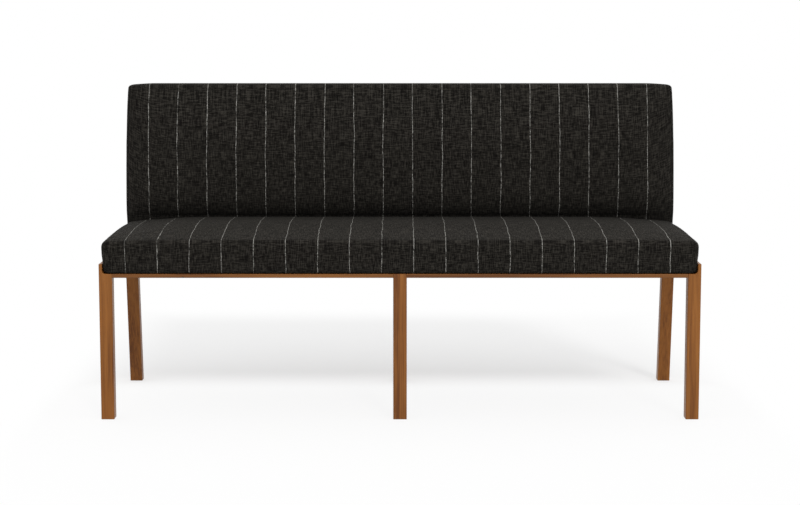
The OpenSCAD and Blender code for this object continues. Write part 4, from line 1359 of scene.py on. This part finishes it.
    def build(self, cloth: bpy.types.Material) -> bpy.types.Object:
        """Builds, swells and dresses the back.

        Args:
            cloth: The cover's material.

        Returns:
            The back.
        """
        back = self.rings.skin("back_upholstery", [self.ring(*station) for station in self.stations()])
        Tailor.even_skin(back, self.voxel, 2)
        start = Tailor.points(back)
        x, y, z = start.T
        front = np.clip((self.rear_y(z) - self.free_depth - y) / self.free_depth_run, 0, 1)
        free = front * np.clip((z - self.crease - self.free_start) / self.free_run, 0, 1)
        start[:, 1] += Tailor.sunk_share * self.swell_cap * free
        Tailor.move(back, start)
        Tailor.swell(back, free, self.swell_cap)
        points = Tailor.points(back)
        points[:, 1] = np.maximum(points[:, 1], self.lowest_front(points[:, 2]))
        Tailor.move(back, points)
        Tailor.finish(back)
        Tailor.lay_cloth(back)
        x, y, z = Tailor.points(back).T
        edge = self.half_width + self.side_swell(z)
        seam_end = self.rear_y(z) - self.seam_rear
        off_seam = np.where(y > seam_end, FAR_FROM_SEAM, edge - self.seam_inset - np.abs(x))
        # Painted shade: the cloth darkens towards the crease with the seat, as if in its shade.
        crease = np.clip((self.crease + self.shaded_rise - z) / self.shade_run, 0, 1)
        Tailor.cut_cloth(back, x, self.shade * crease ** self.shade_power, off_seam)
        Bench.dress(back, cloth)
        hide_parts("back_cover", "back_foam")
        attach(back, "root")
        return back

    def lowest_front(self, z: np.ndarray) -> np.ndarray:
        """Where the back's front may reach furthest forward: it stays behind the seat below the crease.

        Args:
            z: The heights.

        Returns:
            The least Y.
        """
        return np.where(z < self.crease + self.crease_clear, self.seat_rear + 0.0003, -1.0)


@dataclass
class OutsideBack:
    """The cloth that closes the rear: one flat panel with its edges turned under and tacked."""

    half_width: float = 0.7411
    low: float = 0.3878
    high: float = 0.8222
    proud: float = 0.0012
    thickness: float = 0.0012
    rim_run: float = 0.0025
    pull: float = 0.00025
    pull_run: float = 0.05
    waves: tuple[float, float] = (31, 47)
    columns: int = 180
    rows: int = 54

    def build(self, back: BackUpholstery, cloth: bpy.types.Material) -> bpy.types.Object:
        """Builds the panel on the back's rear plane.

        Args:
            back: The back that it closes.
            cloth: The cover's material.

        Returns:
            The panel.
        """
        def place(u: float, v: float) -> tuple[float, float, float]:
            """A point of the cloth: it dips to the rear plane at its rim, and is pulled a little uneven between."""
            x, z = self.half_width * u, self.low + (self.high - self.low) * v
            rim = min(self.half_width - abs(x), z - self.low, self.high - z)
            pull = self.pull * math.sin(z * self.waves[1]) * math.sin(x * self.waves[0])
            lift = self.proud * (1 - math.exp(-rim / self.rim_run)) + pull * min(rim / self.pull_run, 1)
            return x, float(back.rear_y(np.array(z))) + lift, z

        panel = Bench.panel("outside_back", self.columns, self.rows, place, self.thickness)
        Tailor.lay_cloth(panel)
        across = Tailor.points(panel)[:, 0]
        Tailor.cut_cloth(panel, across, np.zeros(len(across)))
        Bench.dress(panel, cloth)
        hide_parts("back_outside_cover")
        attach(panel, "root")
        return panel


@dataclass
class DustCover:
    """The thin cloth under the seat, stretched between the rails with a faint sag in each bay."""

    half_width: float = 0.7324
    front: float = -0.26095
    rear: float = 0.1950
    height: float = 0.3755
    thickness: float = 0.0008
    lift: float = 0.0011
    sag: float = 0.003
    bay_start: float = 0.018
    bay_width: float = 0.708
    bay_front: float = -0.249
    bay_depth: float = 0.430
    bay_power: float = 0.7
    columns: int = 120
    rows: int = 40

    def build(self, lining: bpy.types.Material) -> bpy.types.Object:
        """Builds the dust cover.

        Args:
            lining: Its material.

        Returns:
            The dust cover.
        """
        def arch(distance: float, width: float) -> float:
            """How deep the cloth sags at a distance into a bay, as a share."""
            return math.sin(math.pi * min(max(distance / width, 0), 1)) ** self.bay_power

        def place(u: float, v: float) -> tuple[float, float, float]:
            """A point of the cloth."""
            x, y = self.half_width * u, self.front + (self.rear - self.front) * v
            drop = self.sag * arch(abs(x) - self.bay_start, self.bay_width) * arch(y - self.bay_front, self.bay_depth)
            return x, y, self.height + self.lift - drop

        cover = Bench.panel("dust_cover", self.columns, self.rows, place, self.thickness)
        Bench.dress(cover, lining)
        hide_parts("seat_dust_cover")
        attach(cover, "root")
        return cover


# ---------------------------------------------------------------- wood and hardware


@dataclass
class ShowWood:
    """The tray and the legs: every show-wood node with grain along its length."""

    finish: WoodFinish = field(default_factory=WoodFinish)
    # The front rails take a darker copy of the same wood: painted shade under the seat's front edge.
    shaded_rail_finish: WoodFinish = field(default_factory=lambda: WoodFinish(
        name="satin brown rail wood", dark=srgb(98, 55, 20), middle=srgb(131, 81, 34), light=srgb(149, 95, 42)))
    runs: dict[str, Run] = field(default_factory=lambda: {
        "front_leg_left": Run.UPRIGHT, "front_leg_right": Run.UPRIGHT, "front_leg_centre": Run.UPRIGHT,
        "rear_leg_left": Run.UPRIGHT, "rear_leg_right": Run.UPRIGHT, "rear_leg_centre": Run.UPRIGHT,
        "front_rail_left": Run.ALONG_X, "front_rail_right": Run.ALONG_X,
        "side_rail_left": Run.ALONG_Y, "side_rail_right": Run.ALONG_Y,
        "centre_rail": Run.ALONG_Y, "rear_rail": Run.ALONG_X,
    })
    knots: dict[str, list[tuple[float, float, float]]] = field(default_factory=lambda: {
        "front_rail_left": [(-0.549, 0.3672, 0.0045)],
    })

    def build(self, effects: Effects) -> None:
        """Dresses the nodes.

        Args:
            effects: The shared node groups.
        """
        for count, (name, run) in enumerate(self.runs.items()):
            # Painted shade: the front rails get the darker copy of the wood.
            finish = self.shaded_rail_finish if "front_rail" in name else self.finish
            material = finish.build(effects, run, 0.31 * count, self.knots.get(name, ()))
            Bench.dress(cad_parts[name], material, smooth=False)
            log.info("%s is show wood with grain %s", name, run.name.lower())


@dataclass
class HiddenStructure:
    """The frames, springs and fillings that the covers hide."""

    raw_wood: WoodFinish = field(default_factory=lambda: WoodFinish(
        name="raw frame wood", dark=srgb(176, 142, 98), middle=srgb(205, 172, 126), light=srgb(222, 194, 150),
        roughness=0.75, pore_share=0.2, bump=0.4))
    board: PlainFinish = PlainFinish("hardboard", srgb(86, 60, 40), srgb(122, 90, 62), 0.7)
    felt: PlainFinish = PlainFinish("grey felt", srgb(128, 124, 115), srgb(170, 165, 155), 0.95, depth=0.0006)
    jute: PlainFinish = PlainFinish("jute webbing", srgb(136, 108, 70), srgb(184, 152, 106), 0.9,
                                    scale=(900, 900, 120))
    steel: PlainFinish = PlainFinish("zinc-plated steel", srgb(150, 152, 156), srgb(196, 198, 202), 0.38, 1.0,
                                     scale=(700, 700, 60), depth=0.00005)

    def build(self, effects: Effects) -> None:
        """Dresses the nodes.

        Args:
            effects: The shared node groups.
        """
        wood = {
            Run.ALONG_X: ["seat_frame_front", "seat_frame_rear", "back_top_rail", "back_bottom_rail_left",
                          "back_bottom_rail_right", "seat_corner_blocks"],
            Run.ALONG_Y: ["seat_frame_left", "seat_frame_right", "seat_frame_centre"],
            Run.UPRIGHT: ["back_post_left", "back_post_centre", "back_post_right"],
        }
        for count, (run, names) in enumerate(wood.items()):
            material = self.raw_wood.build(effects, run, 0.47 * count)
            for name in names:
                Bench.dress(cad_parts[name], material, smooth=False)
        steel = self.steel.build()
        for name in ("seat_springs", "spring_clips", "leg_bolts", "leg_bolt_inserts", "back_bolts"):
            Bench.dress(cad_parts[name], steel, smooth=False)
        for name, finish in (("back_board", self.board), ("seat_deck_felt", self.felt), ("back_webbing", self.jute)):
            Bench.dress(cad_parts[name], finish.build(), smooth=False)


@dataclass
class Glides:
    """Nail-in glides: a rounded pad with a dished nail head under each foot."""

    radius: float = 0.010
    thickness: float = 0.0015
    rounding: float = 0.0004
    rim: float = 0.006
    dish: float = 0.0004
    smooth_below: float = math.radians(35)
    places: tuple[tuple[float, float], ...] = tuple(
        (x, y) for y in (-0.265804, 0.258804) for x in (-0.74525, 0.0, 0.74525))
    finish: PlainFinish = PlainFinish("dark nylon", srgb(22, 21, 20), srgb(40, 38, 36), 0.5)

    def build(self) -> bpy.types.Object:
        """Models one glide, copies it under each foot and dresses them.

        Returns:
            The glides.
        """
        Bench.clear()
        bpy.ops.mesh.primitive_cylinder_add(vertices=48, radius=self.radius, depth=self.thickness,
                                            location=(0, 0, self.thickness / 2))
        glide = bpy.context.object
        Bench.settle(glide)
        Bench.pick_faces(glide, lambda face: face.normal.z < -0.9)
        bpy.ops.mesh.bevel(offset=self.rounding, segments=3, affect="EDGES")
        bpy.ops.object.mode_set(mode="OBJECT")
        Bench.pick_faces(glide, lambda face: face.normal.z < -0.99 and face.area > 1e-4)
        bpy.ops.mesh.inset(thickness=self.rim, depth=0)
        bpy.ops.mesh.inset(thickness=self.dish, depth=-self.dish)
        bpy.ops.object.mode_set(mode="OBJECT")
        glides = Bench.copies(glide, [(x, y, 0) for x, y in self.places], "glides")
        Bench.dress(glides, self.finish.build(), smooth=False)
        Bench.pick(glides)
        bpy.ops.object.shade_smooth_by_angle(angle=self.smooth_below)
        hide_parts("leg_glides")
        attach(glides, "root")
        return glides


@dataclass
class TrayScrews:
    """Countersunk screws under the tray, with a cross recess in each head."""

    head_radius: float = 0.0039
    head_depth: float = 0.0025
    shank_radius: float = 0.002
    shank: float = 0.0307
    sunk: float = 0.3655
    recess: Triple = (0.0045, 0.0009, 0.0026)
    recess_height: float = 0.0003
    head_rim: float = 0.0005
    near: float = 0.02
    finish: PlainFinish = PlainFinish("yellow-zinc screws", srgb(150, 128, 78), srgb(196, 172, 116), 0.35, 1.0,
                                      scale=(900, 900, 900), depth=0.00004)

    def places(self) -> list[tuple[float, float, float]]:
        """Where the heads' undersides lie: the CAD screws' own places."""
        groups: list[list[Vector]] = []
        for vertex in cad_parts["tray_screws"].data.vertices:
            if vertex.co.z > self.sunk + self.head_rim:
                continue
            for group in groups:
                if (group[0] - vertex.co).length < self.near:
                    group.append(vertex.co)
                    break
            else:
                groups.append([vertex.co])
        return [(sum(p.x for p in g) / len(g), sum(p.y for p in g) / len(g), self.sunk) for g in groups]

    def build(self) -> bpy.types.Object:
        """Models one screw, cuts its recess, copies it to each place and dresses them.

        Returns:
            The screws.
        """
        Bench.clear()
        bpy.ops.mesh.primitive_cone_add(vertices=32, radius1=self.head_radius, radius2=self.shank_radius,
                                        depth=self.head_depth, location=(0, 0, self.head_depth / 2))
        screw = bpy.context.object
        Bench.settle(screw)
        Bench.pick_faces(screw, lambda face: face.normal.z > 0.9)
        bpy.ops.mesh.extrude_region_move(TRANSFORM_OT_translate={"value": (0, 0, self.shank - self.head_depth)})
        bpy.ops.object.mode_set(mode="OBJECT")
        Bench.clear()
        for turned in (0, math.pi / 2):
            bpy.ops.mesh.primitive_cube_add(size=1, location=(0, 0, self.recess_height),
                                            rotation=(0, 0, turned), scale=self.recess)
            cutter = bpy.context.object
            Bench.apply(screw, "BOOLEAN", object=cutter, operation="DIFFERENCE", solver="EXACT")
            bpy.data.objects.remove(cutter)
        screws = Bench.copies(screw, self.places(), "tray_screw_set")
        Bench.dress(screws, self.finish.build(), smooth=False)
        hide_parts("tray_screws")
        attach(screws, "root")
        return screws


# ---------------------------------------------------------------- studio


@dataclass
class Studio:
    """A pale floor, plain soft light and the camera."""

    lens: float = 85.0
    sensor: float = 36.0
    camera_height: float = 1.0105
    camera_back: float = 4.733
    pitch_down: float = 6.987
    front_plane: float = -0.282554
    world_light: float = 0.91
    key_strength: float = 0.64
    key_angle: float = 13.0
    key_aim: Triple = (-0.457, 1.43, -1.0)
    floor_size: float = 60.0
    floor_tone: float = 0.62
    floor_glow: float = 0.36
    bounce_tone: float = 0.4
    fade_beside: tuple[float, float] = (0.70, 1.0)
    fade_behind: tuple[float, float] = (1.25, 1.65)
    # In front of this fade the floor is painted mostly white: painted light over the bench's shadow.
    painted_light_fade: tuple[float, float] = (0.42, 0.12)
    painted_light_front: float = 0.8

    def build(self) -> None:
        """Builds the studio."""
        self.camera()
        self.floor()
        self.lamps()
        self.world()
        bpy.context.scene.view_settings.view_transform = "Standard"

    def camera(self) -> None:
        """Sets the camera at the photographed angle."""
        data = bpy.data.cameras.new("camera")
        data.lens, data.sensor_width = self.lens, self.sensor
        data.clip_end = 100
        camera = bpy.data.objects.new("camera", data)
        camera.location = (0, self.front_plane - self.camera_back, self.camera_height)
        camera.rotation_euler = (math.radians(90 - self.pitch_down), 0, 0)
        bpy.context.scene.collection.objects.link(camera)
        bpy.context.scene.camera = camera

    def floor(self) -> None:
        """Lays a pale floor that keeps the shadow behind the bench and fades to white.

        Under and in front of the bench it is painted most of the way to white: painted light over the bench's shadow.
        """
        Bench.clear()
        bpy.ops.mesh.primitive_plane_add(size=self.floor_size, location=(0, 0, 0))
        floor = bpy.context.object
        floor.name = "studio_floor"
        material = bpy.data.materials.new("pale floor")
        material.use_nodes = True
        tree = material.node_tree
        tree.nodes.clear()
        g = Graph(tree)
        diffuse, dim = g.node("ShaderNodeBsdfDiffuse"), g.node("ShaderNodeBsdfDiffuse")
        for shader, tone in ((diffuse, self.floor_tone), (dim, self.bounce_tone)):
            shader.inputs["Color"].default_value = (tone, tone, tone, 1)
        glow = g.node("ShaderNodeEmission")
        glow.inputs["Strength"].default_value = self.floor_glow
        white = g.node("ShaderNodeEmission")
        path = g.node("ShaderNodeLightPath")
        seen = g.math("MAXIMUM", path.outputs["Is Camera Ray"], path.outputs["Is Glossy Ray"])
        seen = g.math("MAXIMUM", seen, path.outputs["Is Transmission Ray"])
        both = g.node("ShaderNodeAddShader")
        tree.links.new(diffuse.outputs[0], both.inputs[0])
        tree.links.new(glow.outputs[0], both.inputs[1])
        near = g.shader_mix(seen, dim, both)
        x, y, _ = g.split(g.node("ShaderNodeTexCoord").outputs["Object"])
        beside = g.remap(g.math("ABSOLUTE", x), *self.fade_beside, 0, 1)
        # Painted light: under and in front of the bench the floor is mixed most of the way to white, over the bench's
        # own shadow there.
        before = g.remap(y, *self.painted_light_fade, 0, self.painted_light_front)
        beyond = g.math("MAXIMUM", g.remap(y, *self.fade_behind, 0, 1), before)
        mixed = g.shader_mix(g.math("MULTIPLY", g.math("MAXIMUM", beside, beyond), seen), near, white)
        out = g.node("ShaderNodeOutputMaterial")
        tree.links.new(mixed.outputs[0], out.inputs["Surface"])
        floor.data.materials.append(material)

    def lamps(self) -> None:
        """Hangs one soft key light at the front right."""
        data = bpy.data.lights.new("key", "SUN")
        data.energy = self.key_strength
        data.angle = math.radians(self.key_angle)
        key = bpy.data.objects.new("key", data)
        key.rotation_euler = Vector(self.key_aim).to_track_quat("-Z", "Y").to_euler()
        bpy.context.scene.collection.objects.link(key)

    def world(self) -> None:
        """Surrounds the bench with even soft light, and shows white past the floor."""
        world = bpy.data.worlds.new("soft room")
        bpy.context.scene.world = world
        world.use_nodes = True
        tree = world.node_tree
        tree.nodes.clear()
        g = Graph(tree)
        path = g.node("ShaderNodeLightPath")
        seen = g.math("MAXIMUM", path.outputs["Is Camera Ray"], path.outputs["Is Transmission Ray"])
        light = g.node("ShaderNodeBackground")
        light.inputs["Strength"].default_value = self.world_light
        white = g.node("ShaderNodeBackground")
        for ground in (light, white):
            ground.inputs["Color"].default_value = (1, 1, 1, 1)
        mixed = g.shader_mix(seen, light, white)
        out = g.node("ShaderNodeOutputWorld")
        tree.links.new(mixed.outputs[0], out.inputs["Surface"])


def main() -> None:
    """Builds the bench's finishes, upholstery, wood, hardware and studio, in that order."""
    logging.basicConfig(level=logging.INFO, format="%(name)s: %(message)s")
    effects = Effects()
    cloth = ClothFinish().build(effects)
    lining = LiningFinish().build(effects)
    back = BackUpholstery()
    made: list[Callable[[], bpy.types.Object]] = [
        lambda: SeatUpholstery().build(cloth),
        lambda: back.build(cloth),
        lambda: OutsideBack().build(back, cloth),
        lambda: DustCover().build(lining),
        lambda: Glides().build(),
        lambda: TrayScrews().build(),
    ]
    for build in made:
        piece = build()
        log.info("%s: %d faces", piece.name, len(piece.data.polygons))
    ShowWood().build(effects)
    HiddenStructure().build(effects)
    Studio().build()


if __name__ == "__main__":
    main()
